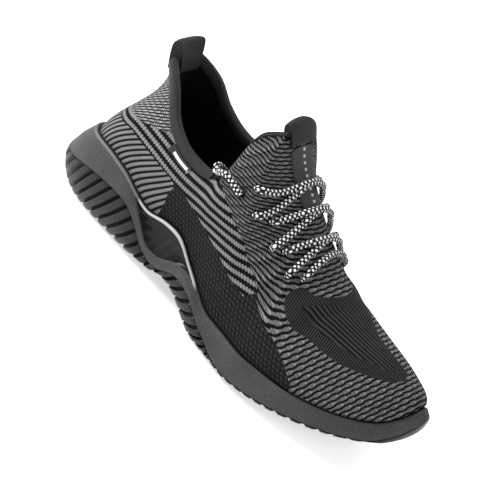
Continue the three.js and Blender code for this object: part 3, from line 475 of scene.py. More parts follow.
def side_rib_of(side, at):
    """From the rim to the collar or to the tongue's edge, on one side"""
    whole = whole_rib(side, at)
    front = rib_part(whole, share_at_width(whole, centre_half_width(at)))
    foot = raised(footprint(side, at), rim_line(at))
    top = top_line(side, at)
    normal = outline_normal(side, at)
    height = (top - foot)[..., 2:]
    leave = np.concatenate([normal * body("bulge", at) * height, body("rise", at) * height], -1)
    arrive = np.concatenate([normal * body("flare", at) * height, -body("drop", at) * height], -1)
    corner = CORNERS[side]
    share = smooth((at - TONGUE_BLEND_START) / (TONGUE_AT - TONGUE_BLEND_START))[..., None]
    leave = mix(leave, corner[1] - corner[0], share)
    arrive = mix(arrive, corner[2] - corner[3], share)
    back = np.stack([foot, foot + leave, top + arrive, top], -2)
    return np.where((at >= TONGUE_AT)[..., None, None], front, back)


def side_rib(side, at):
    side, at = fold(side, at)
    both = [side_rib_of(one, at) for one in SIDES]
    return np.where((side < 0)[..., None, None], both[0], both[1])


def surface_normal(before, after, below, above, side):
    normal = unit(np.cross(after - before, above - below))
    return normal if side == LATERAL else -normal


def wall_points(side, at, v):
    """Points and normals of the outer face, for columns "at" and shares "v" up the wall"""
    at = np.asarray(at, float)[..., None]
    v = np.broadcast_to(v, np.broadcast_shapes(at.shape, np.shape(v)))
    at = np.broadcast_to(at, v.shape)
    ribs = side_rib(side, at[:, 0])[:, None]
    before = bezier(side_rib(side, at[:, 0] - PROBE)[:, None], v)
    after = bezier(side_rib(side, at[:, 0] + PROBE)[:, None], v)
    below = bezier(ribs, np.maximum(v - PROBE, 0))
    above = bezier(ribs, np.minimum(v + PROBE, 1))
    return bezier(ribs, v), surface_normal(before, after, below, above, side)


def middle_rib(side, at):
    side, at = fold(side, at)
    both = [whole_rib(one, at) for one in SIDES]
    return np.where((side < 0)[..., None, None], both[0], both[1])


def middle_points(side, at, w):
    """The same for the middle panel, from the tongue's edge (0) to the ridge (1)"""
    at = np.asarray(at, float)
    w = np.broadcast_to(w, (len(at), np.shape(w)[-1]))

    def point(place, share):
        ribs = middle_rib(side, place)
        start = share_at_width(ribs, centre_half_width(fold(side, place)[1]))
        return bezier(ribs[:, None], mix(start[:, None], 1, share))

    safe = np.maximum(at, TONGUE_AT + PROBE)
    before, after = point(safe - PROBE, w), point(safe + PROBE, w)
    below, above = point(safe, np.maximum(w - PROBE, 0)), point(safe, np.minimum(w + PROBE, 1))
    normal = surface_normal(before, after, below, above, side)
    step = ridge_step(at)
    ridge_normal = unit(np.stack([-step[:, 2], np.zeros(len(at)), step[:, 0]], -1))
    normal = np.where((w > 0.999)[..., None], ridge_normal[:, None], normal)
    return point(at, w), normal


def wall_arc(ribs, samples=120):
    """The shares up a rib and the distance over the skin from its top end to each"""
    v = np.linspace(1, 0, samples + 1)
    points = bezier(ribs[..., None, :, :], v)
    strides = length_of(np.diff(points, axis=-2))[..., 0]
    walked = np.concatenate([np.zeros(strides.shape[:-1] + (1,)), np.cumsum(strides, -1)], -1)
    return v, walked, points


def share_below_top(side, at, distance):
    v, walked, _ = wall_arc(side_rib(side, at))
    distance = np.broadcast_to(distance, np.shape(at))
    return np.array([np.interp(d, w, v) for d, w in zip(distance, walked)])


TAPE_SLANT = 1.5
TAPE_SLANT_START = 0.38
TAPE_SLANT_WIDTH = 0.08
TOE_TAPE_SHARE = 0.9
NEAR_TOP = 0.97


def tape_share(side, at):
    place = np.minimum(np.abs(at), TONGUE_AT)
    slant = mix(1, TAPE_SLANT, smooth((place - TAPE_SLANT_START) / TAPE_SLANT_WIDTH))
    share = share_below_top(side, place, BINDING_WIDTH * slant)
    return mix(share, TOE_TAPE_SHARE, toe_share(at))


def on_skin(at, across, lift):
    """Points over the front of the shoe, "across" millimetres over the skin from its ridge,
    counted from the lateral (negative) to the medial side"""
    at, across, lift = np.broadcast_arrays(*(np.asarray(a, float) for a in (at, across, lift)))
    side = np.where(across < 0, LATERAL, MEDIAL)
    reach = np.abs(across)

    def point(place, distance):
        _, walked, points = wall_arc(middle_rib(side, place), 160)
        flat = points.reshape(-1, *points.shape[-2:])
        rows = walked.reshape(-1, walked.shape[-1])
        found = [
            [np.interp(d, row, line[:, axis]) for axis in range(3)]
            for d, row, line in zip(np.broadcast_to(distance, at.shape).ravel(), rows, flat)
        ]
        return np.array(found).reshape(*at.shape, 3)

    safe = np.maximum(at, TONGUE_AT + PROBE)
    along = point(safe + PROBE, reach) - point(safe - PROBE, reach)
    over = point(safe, np.maximum(reach - 0.4, 0)) - point(safe, reach + 0.4)
    normal = unit(np.cross(along, over)) * np.where(side < 0, 1, -1)[..., None]
    step = ridge_step(at)
    ridge_normal = unit(np.stack([-step[..., 2], np.zeros(at.shape), step[..., 0]], -1))
    normal = np.where((reach < 0.5)[..., None], ridge_normal, normal)
    return point(at, reach) + normal * lift[..., None]


def to_frame(points):
    """From the drawing's millimetres to metres with the origin under the heel"""
    return (np.asarray(points, float) - (HEEL_REST_ALONG * SOLE_LENGTH, 0, 0)) / 1000


class Surface:
    """Grids of points that become one mesh, with values kept at its points for the shader."""

    def __init__(self, name):
        self.name = name
        self.points = []
        self.faces = []
        self.slots = []
        self.values = {}
        self.count = 0

    def grid(self, points, turned=False, slot=0, **values):
        rows, columns = points.shape[:2]
        number = self.count + np.arange(rows * columns).reshape(rows, columns)
        corners = [number[:-1, :-1], number[1:, :-1], number[1:, 1:], number[:-1, 1:]]
        if turned:
            corners.reverse()
        faces = np.stack(corners, -1).reshape(-1, 4)
        self.faces.append(faces)
        self.slots.append(np.full(len(faces), slot))
        self.points.append(points.reshape(-1, 3))
        for name, value in values.items():
            kept = self.values.setdefault(name, [])
            missing = self.count - sum(len(part) for part in kept)
            kept.append(np.zeros(missing))
            kept.append(np.broadcast_to(value, (rows, columns)).ravel())
        self.count += rows * columns

    def build(self, materials, weld=0.004, sharp_angle=50):
        mesh = bpy.data.meshes.new(self.name)
        mesh.from_pydata(to_frame(np.concatenate(self.points)), [], np.concatenate(self.faces).tolist())
        for name, parts in self.values.items():
            value = np.concatenate(parts)
            value = np.append(value, np.zeros(self.count - len(value)))
            mesh.attributes.new(name, "FLOAT", "POINT").data.foreach_set("value", value)
        for material in materials:
            mesh.materials.append(material)
        mesh.polygons.foreach_set("material_index", np.concatenate(self.slots).astype(np.int32))
        work = bmesh.new()
        work.from_mesh(mesh)
        bmesh.ops.remove_doubles(work, verts=work.verts, dist=weld / 1000)
        bmesh.ops.dissolve_degenerate(work, edges=work.edges, dist=weld / 2000)
        work.to_mesh(mesh)
        work.free()
        mesh.shade_smooth()
        mesh.set_sharp_from_angle(angle=math.radians(sharp_angle))
        piece = bpy.data.objects.new(self.name, mesh)
        bpy.context.scene.collection.objects.link(piece)
        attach(piece, "root")
        return piece


class Shader:
    """A material whose nodes are laid down by short calls."""

    def __init__(self, name):
        self.material = bpy.data.materials.new(name)
        self.material.use_nodes = True
        self.tree = self.material.node_tree
        self.surface = self.tree.nodes["Principled BSDF"]

    def node(self, kind, **settings):
        made = self.tree.nodes.new(kind)
        for key, value in settings.items():
            setattr(made, key, value)
        return made

    def put(self, socket, value):
        if isinstance(value, bpy.types.NodeSocket):
            self.tree.links.new(value, socket)
        elif value is not None:
            socket.default_value = value

    def attribute(self, name):
        return self.node("ShaderNodeAttribute", attribute_name=name).outputs["Fac"]

    def place(self):
        """The point's place on the object, in millimetres: x, y, z"""
        position = self.node("ShaderNodeTexCoord").outputs["Object"]
        split = self.node("ShaderNodeSeparateXYZ")
        self.put(split.inputs[0], position)
        return [self.math("MULTIPLY", split.outputs[i], 1000) for i in range(3)]

    def math(self, operation, a, b=None, c=None):
        made = self.node("ShaderNodeMath", operation=operation)
        for socket, value in zip(made.inputs, (a, b, c)):
            self.put(socket, value)
        return made.outputs[0]

    def add(self, a, b):
        return self.math("ADD", a, b)

    def times(self, a, b):
        return self.math("MULTIPLY", a, b)

    def step(self, value, start, end):
        """0 below start and 1 over end, smooth between"""
        made = self.node("ShaderNodeMapRange", interpolation_type="SMOOTHSTEP")
        for socket, number in zip(made.inputs, (value, start, end, 0, 1)):
            self.put(socket, number)
        return made.outputs[0]

    def wave(self, value, pitch):
        """From 0 to 1 and back in each pitch"""
        turn = self.times(value, 2 * math.pi / pitch)
        return self.math("MULTIPLY_ADD", self.math("COSINE", turn), -0.5, 0.5)

    def stripe(self, value, share, soft=0.08):
        """1 on a share of each whole number, 0 on the rest"""
        middle = self.math("ABSOLUTE", self.math("SUBTRACT", self.math("FRACT", value), 0.5))
        return self.math("SUBTRACT", 1, self.step(middle, share / 2 - soft, share / 2 + soft))

    def vector(self, x, y, z=0):
        made = self.node("ShaderNodeCombineXYZ")
        for socket, value in zip(made.inputs, (x, y, z)):
            self.put(socket, value)
        return made.outputs[0]

    def noise(self, vector, scale, detail=2):
        made = self.node("ShaderNodeTexNoise")
        self.put(made.inputs["Vector"], vector)
        made.inputs["Scale"].default_value = scale
        made.inputs["Detail"].default_value = detail
        return made.outputs["Fac"]

    def cells(self, vector, randomness=0.7):
        """A random value for each cell, and the distance from the cell's middle"""
        made = self.node("ShaderNodeTexVoronoi", voronoi_dimensions="2D")
        self.put(made.inputs["Vector"], vector)
        made.inputs["Scale"].default_value = 1
        made.inputs["Randomness"].default_value = randomness
        split = self.node("ShaderNodeSeparateColor")
        self.put(split.inputs[0], made.outputs["Color"])
        return split.outputs[0], made.outputs["Distance"]

    def blend(self, share, a, b):
        made = self.node("ShaderNodeMix", data_type="FLOAT")
        self.put(made.inputs[0], share)
        self.put(made.inputs[2], a)
        self.put(made.inputs[3], b)
        return made.outputs[0]

    def cover(self, share, colour, plain):
        """A plain colour over another"""
        made = self.node("ShaderNodeMix", data_type="RGBA")
        self.put(made.inputs[0], share)
        self.put(made.inputs[6], colour)
        made.inputs[7].default_value = (*plain, 1)
        return made.outputs[2]

    def tint(self, share, dark, light):
        """A colour between two"""
        made = self.node("ShaderNodeMix", data_type="RGBA")
        self.put(made.inputs[0], share)
        made.inputs[6].default_value = (*dark, 1)
        made.inputs[7].default_value = (*light, 1)
        return made.outputs[2]

    def finish(self, colour, roughness, height=None, bump=0.3, depth=0.0005, **sockets):
        if isinstance(colour, tuple):
            colour = (*colour, 1)
        self.put(self.surface.inputs["Base Color"], colour)
        self.put(self.surface.inputs["Roughness"], roughness)
        for name, value in sockets.items():
            self.put(self.surface.inputs[name.replace("_", " ")], value)
        if height is not None:
            made = self.node("ShaderNodeBump")
            made.inputs["Strength"].default_value = bump
            made.inputs["Distance"].default_value = depth
            self.put(made.inputs["Height"], height)
            self.put(self.surface.inputs["Normal"], made.outputs[0])
        return self.material


# Camera: the photograph's angle to the shoe, with the frame centred on the one shoe
PHOTO_WIDTH = 500
CAMERA_TURN = math.radians(20.5)
CAMERA_DOWN = math.radians(31.5)
CAMERA_ROLL = math.radians(35)
CAMERA_DISTANCE = 1300
CAMERA_TARGET = (150, 0, 50)
AIM_RIGHT = -7.4
AIM_UP = 11.1
PHOTO_SCALE = 1.245
FRAME_ZOOM = 1.3
SENSOR_WIDTH = 36


def make_camera():
    back = Vector((
        math.cos(CAMERA_DOWN) * math.sin(CAMERA_TURN),
        -math.cos(CAMERA_DOWN) * math.cos(CAMERA_TURN),
        math.sin(CAMERA_DOWN),
    ))
    level = Vector((math.cos(CAMERA_TURN), math.sin(CAMERA_TURN), 0))
    steep = back.cross(level)
    right = level * math.cos(CAMERA_ROLL) + steep * math.sin(CAMERA_ROLL)
    up = steep * math.cos(CAMERA_ROLL) - level * math.sin(CAMERA_ROLL)
    data = bpy.data.cameras.new("camera")
    data.sensor_width = SENSOR_WIDTH
    data.lens = PHOTO_SCALE * CAMERA_DISTANCE * FRAME_ZOOM * SENSOR_WIDTH / PHOTO_WIDTH
    aim = Vector(to_frame(CAMERA_TARGET)) + (right * AIM_RIGHT + up * AIM_UP) / 1000
    camera = bpy.data.objects.new("camera", data)
    turn = Matrix((right, up, back)).transposed()
    camera.matrix_world = Matrix.Translation(aim + back * CAMERA_DISTANCE / 1000) @ turn.to_4x4()
    bpy.context.scene.collection.objects.link(camera)
    bpy.context.scene.camera = camera


WORLD_STRENGTH = 0.38
LIGHT_TARGET = (0.1, 0, 0.05)
# Name, place and size in metres, and power in watts: the key light stands behind the heel
LIGHTS = (
    ("key_light", (-1.3, -0.5, 1.2), 1.0, 54),
    ("toe_light", (1.2, -0.7, 1.2), 0.8, 8),
    ("back_light", (0.2, 1.3, 1.3), 1.2, 16),
)
FLOOR_REACH = 6
FLOOR_COLOUR = (0.9, 0.9, 0.9)
FLOOR_ROUGHNESS = 0.6
FLOOR_GLOW = 0.6


def make_lights():
    bpy.context.scene.view_settings.view_transform = "Standard"
    world = bpy.data.worlds.new("studio")
    world.use_nodes = True
    world.node_tree.nodes["Background"].inputs[0].default_value = (1, 1, 1, 1)
    world.node_tree.nodes["Background"].inputs[1].default_value = WORLD_STRENGTH
    bpy.context.scene.world = world
    for name, place, size, power in LIGHTS:
        data = bpy.data.lights.new(name, "AREA")
        data.size = size
        data.energy = power
        light = bpy.data.objects.new(name, data)
        light.location = place
        way = Vector(LIGHT_TARGET) - light.location
        light.rotation_euler = way.to_track_quat("-Z", "Y").to_euler()
        bpy.context.scene.collection.objects.link(light)


def make_floor():
    mesh = bpy.data.meshes.new("floor")
    reach = FLOOR_REACH
    corners = [(-reach, -reach, 0), (reach, -reach, 0), (reach, reach, 0), (-reach, reach, 0)]
    mesh.from_pydata(corners, [], [(0, 1, 2, 3)])
    floor = bpy.data.objects.new("floor", mesh)
    bpy.context.scene.collection.objects.link(floor)
    shader = Shader("pale_floor")
    glow = {"Emission_Color": (1, 1, 1, 1), "Emission_Strength": FLOOR_GLOW}
    mesh.materials.append(shader.finish(FLOOR_COLOUR, FLOOR_ROUGHNESS, **glow))


# Laces: the rows of holes below the top pair, as distances over the skin from the ridge
LACE_HOLES = table(
    ("at", "across"),
    [(0.532, 54), (0.552, 57), (0.583, 39), (0.603, 45), (0.625, 34), (0.650, 37), (0.675, 26)],
)
CROSSINGS = ((1, 0, 0.049), (3, 2, 0.029), (5, 4, 0.018))
TOP_HOLE = (0.510, 0.583)
LACE_END_EDGE = 0.385
LACE_END_DROP = 13
OVERLAP_LIFT = 0.35
LACE_TOUCH = 0.2
LACE_DIP = 4.5
HOLE_DEPTH = 3


def curve_between(a, b, c, d, s):
    """From b to c on a smooth curve through four points"""
    return 0.5 * (2 * b + (c - a) * s + (2 * a - 5 * b + 4 * c - d) * s**2
                  + (3 * b - 3 * c + d - a) * s**3)


def smooth_line(points, spacing=0.5):
    """A smooth line through points, as points at even distances"""
    points = np.asarray(points, float)
    padded = np.concatenate([[2 * points[0] - points[1]], points, [2 * points[-1] - points[-2]]])
    s = np.linspace(0, 1, 24, endpoint=False)[:, None]
    spans = zip(padded, padded[1:], padded[2:], padded[3:])
    dense = np.concatenate([*(curve_between(*span, s) for span in spans), points[-1:]])
    walked = np.append(0, np.cumsum(length_of(np.diff(dense, axis=0))))
    count = max(int(walked[-1] / spacing), 2)
    even = np.linspace(0, walked[-1], count + 1)
    return np.stack([np.interp(even, walked, dense[:, i]) for i in range(3)], -1), even


BRAID_PITCH = 3.05
BRAID_STRANDS = 3
BRAID_RELIEF = 0.06


def lace_tube(name, lines, material):
    """Round braided cord along one or more lines"""
    surface = Surface(name)
    turn = np.linspace(0, 1, 25)
    for line in lines:
        points, run = smooth_line(line)
        way = unit(np.gradient(points, axis=0))
        frame_x = np.zeros_like(points)
        guide = np.array([0.3, 0.2, 0.93])
        for i, tangent in enumerate(way):
            guide = guide - tangent * guide.dot(tangent)
            guide = guide / np.linalg.norm(guide)
            frame_x[i] = guide
        frame_y = np.cross(way, frame_x)
        angle = 2 * math.pi * turn
        twist = run[:, None] / BRAID_PITCH * 2 * math.pi
        weave = np.sin(BRAID_STRANDS * angle + twist) * np.sin(BRAID_STRANDS * angle - twist)
        radius = LACE_DIAMETER / 2 * (1 - BRAID_RELIEF + BRAID_RELIEF * weave)
        ring = points[:, None] + radius[..., None] * (
            frame_x[:, None] * np.cos(angle)[:, None] + frame_y[:, None] * np.sin(angle)[:, None]
        )
        surface.grid(ring, True, turn=turn[None], run=run[:, None])
        for end, turned in ((0, True), (-1, False)):
            cap = np.stack([ring[end], np.broadcast_to(points[end], ring[end].shape)])
            surface.grid(cap, turned, turn=turn[None], run=run[end])
    return surface.build([material], weld=0.02)


def lace_material():
    """Light dots on a dark braid, in rows that lie staggered round the cord"""
    shader = Shader("braided_lace")
    strands = shader.times(shader.attribute("turn"), BRAID_STRANDS)
    length = shader.times(shader.attribute("run"), 1 / BRAID_PITCH)
    right = shader.wave(shader.add(strands, length), 1)
    left = shader.wave(shader.math("SUBTRACT", strands, length), 1)
    dot = shader.times(right, left)
    x, y, z = shader.place()
    uneven = shader.noise(shader.vector(x, y, z), 0.7, 1)
    light = shader.step(shader.math("MULTIPLY_ADD", uneven, 0.3, dot), 0.36, 0.62)
    colour = shader.tint(light, (0.010, 0.010, 0.011), (0.80, 0.80, 0.79))
    return shader.finish(colour, 0.75, dot, 0.7, 0.0006, Specular_IOR_Level=0.2)


def wall_lift(side, at, v, lift):
    points, normals = wall_points(side, np.atleast_1d(at), np.atleast_1d(v)[:, None])
    return (points + normals * lift)[:, 0]


def edge_up(side, at):
    """Straight up from the top edge of the wall, square to the edge"""
    at = np.atleast_1d(np.asarray(at, float))
    along = top_line(side, np.abs(at) + PROBE) - top_line(side, np.maximum(np.abs(at) - PROBE, 0))
    ribs = side_rib(side, at)
    up = unit(bezier(ribs, np.ones(len(at))) - bezier(ribs, np.full(len(at), NEAR_TOP)))
    way = np.where((at == 0)[:, None], [0.0, 1.0, 0.0], unit(along))
    return unit(up - way * (up * way).sum(-1, keepdims=True))


def lace_end_line():
    """The end of the lace comes out of the top hole and goes over the collar to the inside."""
    radius = LACE_DIAMETER / 2
    over_tape = radius + BINDING_GAP + BINDING_TAPE + 0.6 + GAP
    hole_at, hole_v = TOP_HOLE
    shares = np.array([0, 0.25, 0.5, 0.75])
    at = mix(hole_at, LACE_END_EDGE, shares)
    v = mix(hole_v, 1, shares)
    skin = wall_lift(LATERAL, at, v, 0)
    normals = wall_lift(LATERAL, at, v, 1) - skin
    points = list(skin + normals * mix(radius + GAP, over_tape, shares)[:, None])
    up = edge_up(LATERAL, LACE_END_EDGE)[0]
    low = share_below_top(LATERAL, np.array([LACE_END_EDGE]), LACE_END_DROP)[0]

    def face(v, lift):
        return wall_lift(LATERAL, LACE_END_EDGE, v, lift)[0]

    corner = over_tape * 0.8
    points.append(face(1, over_tape))
    points.append(face(1, corner) + up * corner)
    points.append(face(1, -UPPER_WALL / 2) + up * (over_tape + GAP))
    points.append(face(1, -UPPER_WALL - corner) + up * corner)
    points.append(face(1, -UPPER_WALL - over_tape))
    points.append(face((1 + low) / 2, -UPPER_WALL - over_tape))
    points.append(face(low, -UPPER_WALL - over_tape))
    return np.array(points)


def make_lace_end(material):
    line = lace_end_line()
    path, run = smooth_line(line, 2.0)
    piece = lace_tube("lace_end", [line], material)
    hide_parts("lace_end_lateral")


def lace_run_line(start, end, bow, hump):
    """Out of one hole, over the middle and into the other"""
    from_at, to_at = LACE_HOLES["at"][[start, end]]
    from_across, to_across = LACE_HOLES["across"][[start, end]] * (-1, 1)
    share = np.linspace(0, 1, 41)
    at = mix(from_at, to_at, share) + bow * np.sin(math.pi * share)
    across = mix(from_across, to_across, share)
    over_label = (LABEL_THICKNESS + LABEL_GAP) * smooth((LABEL_WIDTH / 2 + 4 - np.abs(across)) / 4)
    climb = hump * np.sin(math.pi * share) ** 4
    from_end = np.minimum(across - from_across, to_across - across)
    dip = (LACE_DIAMETER / 2 + HOLE_DEPTH) * (1 - smooth(from_end / LACE_DIP))
    lift = LACE_DIAMETER / 2 + LACE_TOUCH + over_label + climb - dip
    return on_skin(at, across, lift)


def make_laces(material):
    for number, (low, high, bow) in enumerate(CROSSINGS, 1):
        lines = [
            lace_run_line(low, high, bow, 0),
            lace_run_line(high, low, bow, LACE_DIAMETER * OVERLAP_LIFT),
        ]
        piece = lace_tube(f"laces_{number}", lines, material)
        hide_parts(f"lace_crossing_{number}")
    bottom = len(LACE_HOLES["at"]) - 1
    piece = lace_tube("laces_bottom", [lace_run_line(bottom, bottom, 0, 0)], material)
    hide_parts("lace_bar")


# Regions of the knit. Side regions are outlined in side view (x, z), the vamp in plan (x, y),
# in millimetres from the point under the heel; the two sides mirror each other.
HEEL_STRIPE_LINE = [
    (-60, 62), (-22, 63.8), (-12, 66.5), (0, 66.4), (10, 66.2), (21, 65.6), (32, 65.1), (35.5, 64),
]
BAND_STEPS = [(43.3, 65), (57.5, 62.2), (71.7, 58.7), (86.8, 56.4), (97.4, 52.4), (109.1, 49.5)]
THROAT_LINE = [
    (60, 93), (67, 90.5), (73.6, 87.1), (81.6, 82.3), (89, 78.6), (96.1, 75.1), (101.8, 68.8),
    (108.2, 65.2), (115.9, 61), (121.5, 57),
]
TOE_LINE = [(124, 53), (134.4, 46.5), (150.4, 43), (162.2, 37.3), (173.2, 28.8), (176, 15)]
HEATHER_LINE = [
    (-60, 69), (-30, 69.5), (-22.7, 70.8), (-6.4, 76.1), (1.8, 79.6), (8, 82.5), (12.9, 86.9), (16, 92),
]
BANDS_OUTLINE = (
    HEEL_STRIPE_LINE + BAND_STEPS + [(116, 48.5)] + THROAT_LINE[::-1] + [(62, 120), (16, 120)]
    + HEATHER_LINE[::-1]
)
UPRIGHT_OUTLINE = HEEL_STRIPE_LINE + [(36, 60), (35, 56.8), (36.2, 49.9), (35.6, 41), (35.6, 15), (-60, 15)]
HEATHER_OUTLINE = HEATHER_LINE + [(16, 140), (-60, 140)]
FRONT_OUTLINE = THROAT_LINE + TOE_LINE + [(280, 15), (280, 170), (40, 170), (52, 110)]
VAMP_OUTLINE = [
    (134.5, -29), (135, -33), (139, -35), (145, -36.3), (152, -36.4), (158, -34.5), (163, -32.8),
    (175, -30), (186, -26), (196, -20), (204, -14.3), (212, -6), (215.3, 3), (213, 10),
    (208, 11.6), (197, 9.5), (185, 9.8), (176, 14), (166, 21), (156, 27), (148, 28), (146, 20),
    (153, 10), (154.4, 1), (152.4, -8), (149.5, -14.5), (145, -20), (141.5, -21.4), (137, -24),
]
VAMP_CENTRE = [
    (146, -29), (165, -26.5), (185, -18), (204, -5), (209, 0), (200, 4), (190, 4), (172, 1.5),
    (164, -2), (156.5, -9), (152, -19),
]


def line_distance(points, line):
    nearest = np.full(points.shape[:-1], 1e9)
    line = np.array(line, float)
    for a, b in zip(line, line[1:]):
        edge = b - a
        share = np.clip(((points - a) @ edge) / max(edge @ edge, 1e-9), 0, 1)
        away = points - a - share[..., None] * edge
        nearest = np.minimum(nearest, (away**2).sum(-1))
    return np.sqrt(nearest)


def inside(points, outline):
    """Distance in from an outline, negative outside it"""
    corners = np.array([*outline, outline[0]], float)
    crossings = np.zeros(points.shape[:-1], int)
    for a, b in zip(corners, corners[1:]):
        edge = b - a
        over = (a[1] > points[..., 1]) != (b[1] > points[..., 1])
        if abs(edge[1]) > 1e-9:
            meet = a[0] + (points[..., 1] - a[1]) * edge[0] / edge[1]
            crossings += over & (points[..., 0] < meet)
    return line_distance(points, corners) * np.where(crossings % 2 == 1, 1, -1)


# Soft troughs (negative) and ridges of the worn knit, as lines on one side in millimetres from
# the point under the heel
CREASES = (
    {"depth": -1.0, "width": 3.2, "line": "holes"},
    {"depth": 0.9, "width": 5.0, "line": [(70, 38, 84), (92, 37, 74), (118, 36, 62)]},
    {"depth": -0.8, "width": 4.5, "line": [(128, 39, 46), (134, 34, 62), (139, 20, 72)]},
    {"depth": -0.6, "width": 5.0, "line": [(150, 40, 42), (157, 30, 60), (160, 0, 71)]},
    {"depth": 0.7, "width": 6.0, "line": [(142, 38, 46), (148, 30, 62), (150, 0, 75)]},
    {"depth": -0.7, "width": 4.0, "line": [(-20, 27, 66), (10, 34, 65), (38, 36, 63)]},
    {"depth": 0.9, "width": 6.5, "line": [(-8, 27, 88), (18, 31, 80), (50, 34, 82)]},
    {"depth": -0.5, "width": 7.0, "line": [(44, 38, 50), (70, 40, 60), (92, 38, 74)]},
)


def hole_points():
    """All lace holes from the top pair down, on the lateral and the medial side"""
    found = {}
    for side in SIDES:
        top = wall_lift(side, TOP_HOLE[0], TOP_HOLE[1], 0)
        rest = on_skin(LACE_HOLES["at"], side * LACE_HOLES["across"], 0)
        found[side] = np.concatenate([top, rest])
    return found


HOLES = hole_points()
HOLE_RADIUS = 2.4
HOLE_DIMPLE = 1.2
EDGE_BAND = 3.2
EDGE_ROLL = 0.5


def relief(points, side):
    """How far creases and lace holes move the knit's face out (+) or in (-)"""
    moved = np.zeros(points.shape[:-1])
    shift = np.array([HEEL_REST_ALONG * SOLE_LENGTH, 0, 0])
    for crease in CREASES:
        if crease["line"] == "holes":
            line = HOLES[side]
        else:
            line = np.array(crease["line"]) * (1, side, 1) + shift
        moved += crease["depth"] * np.exp(-((line_distance(points, line) / crease["width"]) ** 2))
    for hole in HOLES[side]:
        away = length_of(points - hole)[..., 0]
        moved -= HOLE_DIMPLE * np.exp(-((away / HOLE_RADIUS) ** 2))
    from_edge = line_distance(points, EDGE_LINE)
    return moved + EDGE_ROLL * np.exp(-(((from_edge - EDGE_BAND / 2) / (EDGE_BAND / 2)) ** 2))


BAND_LINE = table(
    ("at", "height"),
    [(-40, 62.0), (-22, 64.0), (-10, 66.4), (10, 66.2), (32, 65.0), (45, 65.6), (60, 68.2), (130, 80.1)],
)
BAND_PITCH = table(("at", "pitch"), [(-30, 3.9), (-10, 4.6), (20, 5.3), (130, 5.35)])


# Knitted rows cross the front of the shoe: how far forward they run down its sides, and their
# pitch, by the place along the shoe. Courses cross them.
ROW_LEAN = table(("at", "lean"), [(40, 1.30), (105, 1.25), (150, 0.45), (230, 0.40)])
ROW_PITCH = table(("at", "pitch"), [(40, 2.6), (100, 2.7), (150, 3.1), (230, 3.15)])
BACK_SLOPE = -0.8
COURSE_LENGTH = 9.8
DOWN_SHARE = 0.9
EDGE_LINE_START = 0.355
PAST_RIDGE = 40


def ridge_rows():
    """Along the shoe: the ridge's height and the number of knitted rows up to there"""
    ridge = ridge_point(np.linspace(TONGUE_AT, 1, 200))
    x = ridge[:, 0] - HEEL_REST_ALONG * SOLE_LENGTH
    x = np.concatenate([[x[0] - PAST_RIDGE], x, [x[-1] + PAST_RIDGE]])
    z = np.concatenate([[ridge[0, 2] - PAST_RIDGE * BACK_SLOPE], ridge[:, 2], [ridge[-1, 2]]])
    strides = np.hypot(np.diff(x), np.diff(z)) / row_curve(ROW_PITCH, "pitch", x[:-1])
    return x, z, np.append(0, np.cumsum(strides))


RIDGE_X, RIDGE_Z, RIDGE_ROWS = ridge_rows()


def tongue_edge_line():
    """The edge of the collar and the tongue, in front of the binding"""
    at = np.linspace(EDGE_LINE_START, TONGUE_AT, 24)
    over = np.linspace(0, 1, 9)[None]
    halves = []
    for side in SIDES:
        top = middle_points(side, np.array([TONGUE_AT]), over)[0][0]
        halves.append(np.concatenate([top_line(side, at), top]))
    return np.concatenate([halves[0], halves[1][::-1]])


EDGE_LINE = tongue_edge_line()


def knit_values(points, at, side):
    """What the knit's shader needs at each point: places in the pattern and in its regions"""
    x = points[..., 0] - HEEL_REST_ALONG * SOLE_LENGTH
    y, z = points[..., 1], points[..., 2]
    seen = np.stack([x, z], -1)
    plan = np.stack([x, y], -1)
    band = (z - row_curve(BAND_LINE, "height", x)) / row_curve(BAND_PITCH, "pitch", x)
    hole = np.min([length_of(points - place)[..., 0] for place in HOLES[side]], axis=0)
    down = np.interp(x, RIDGE_X, RIDGE_Z) - z
    lean = row_curve(ROW_LEAN, "lean", x) / row_curve(ROW_PITCH, "pitch", x)
    return {
        "row": np.interp(x, RIDGE_X, RIDGE_ROWS) + lean * down,
        "course": (y + side * DOWN_SHARE * down) / COURSE_LENGTH,
        "edge": line_distance(points, EDGE_LINE),
        "around": HALF_PERIMETER * np.broadcast_to(at, x.shape),
        "band": band,
        "bands": inside(seen, BANDS_OUTLINE),
        "upright": inside(seen, UPRIGHT_OUTLINE),
        "heather": inside(seen, HEATHER_OUTLINE),
        "front": inside(seen, FRONT_OUTLINE),
        "vamp": inside(plan, VAMP_OUTLINE),
        "centre": inside(plan, VAMP_CENTRE),
        "hole": hole,
    }


UPPER_COLUMNS = 341
UPPER_ROWS = 81
MIDDLE_ROWS = 13
INNER_ROWS = 25
FADE_FOOT = 0.08
FADE_TOP = 0.05


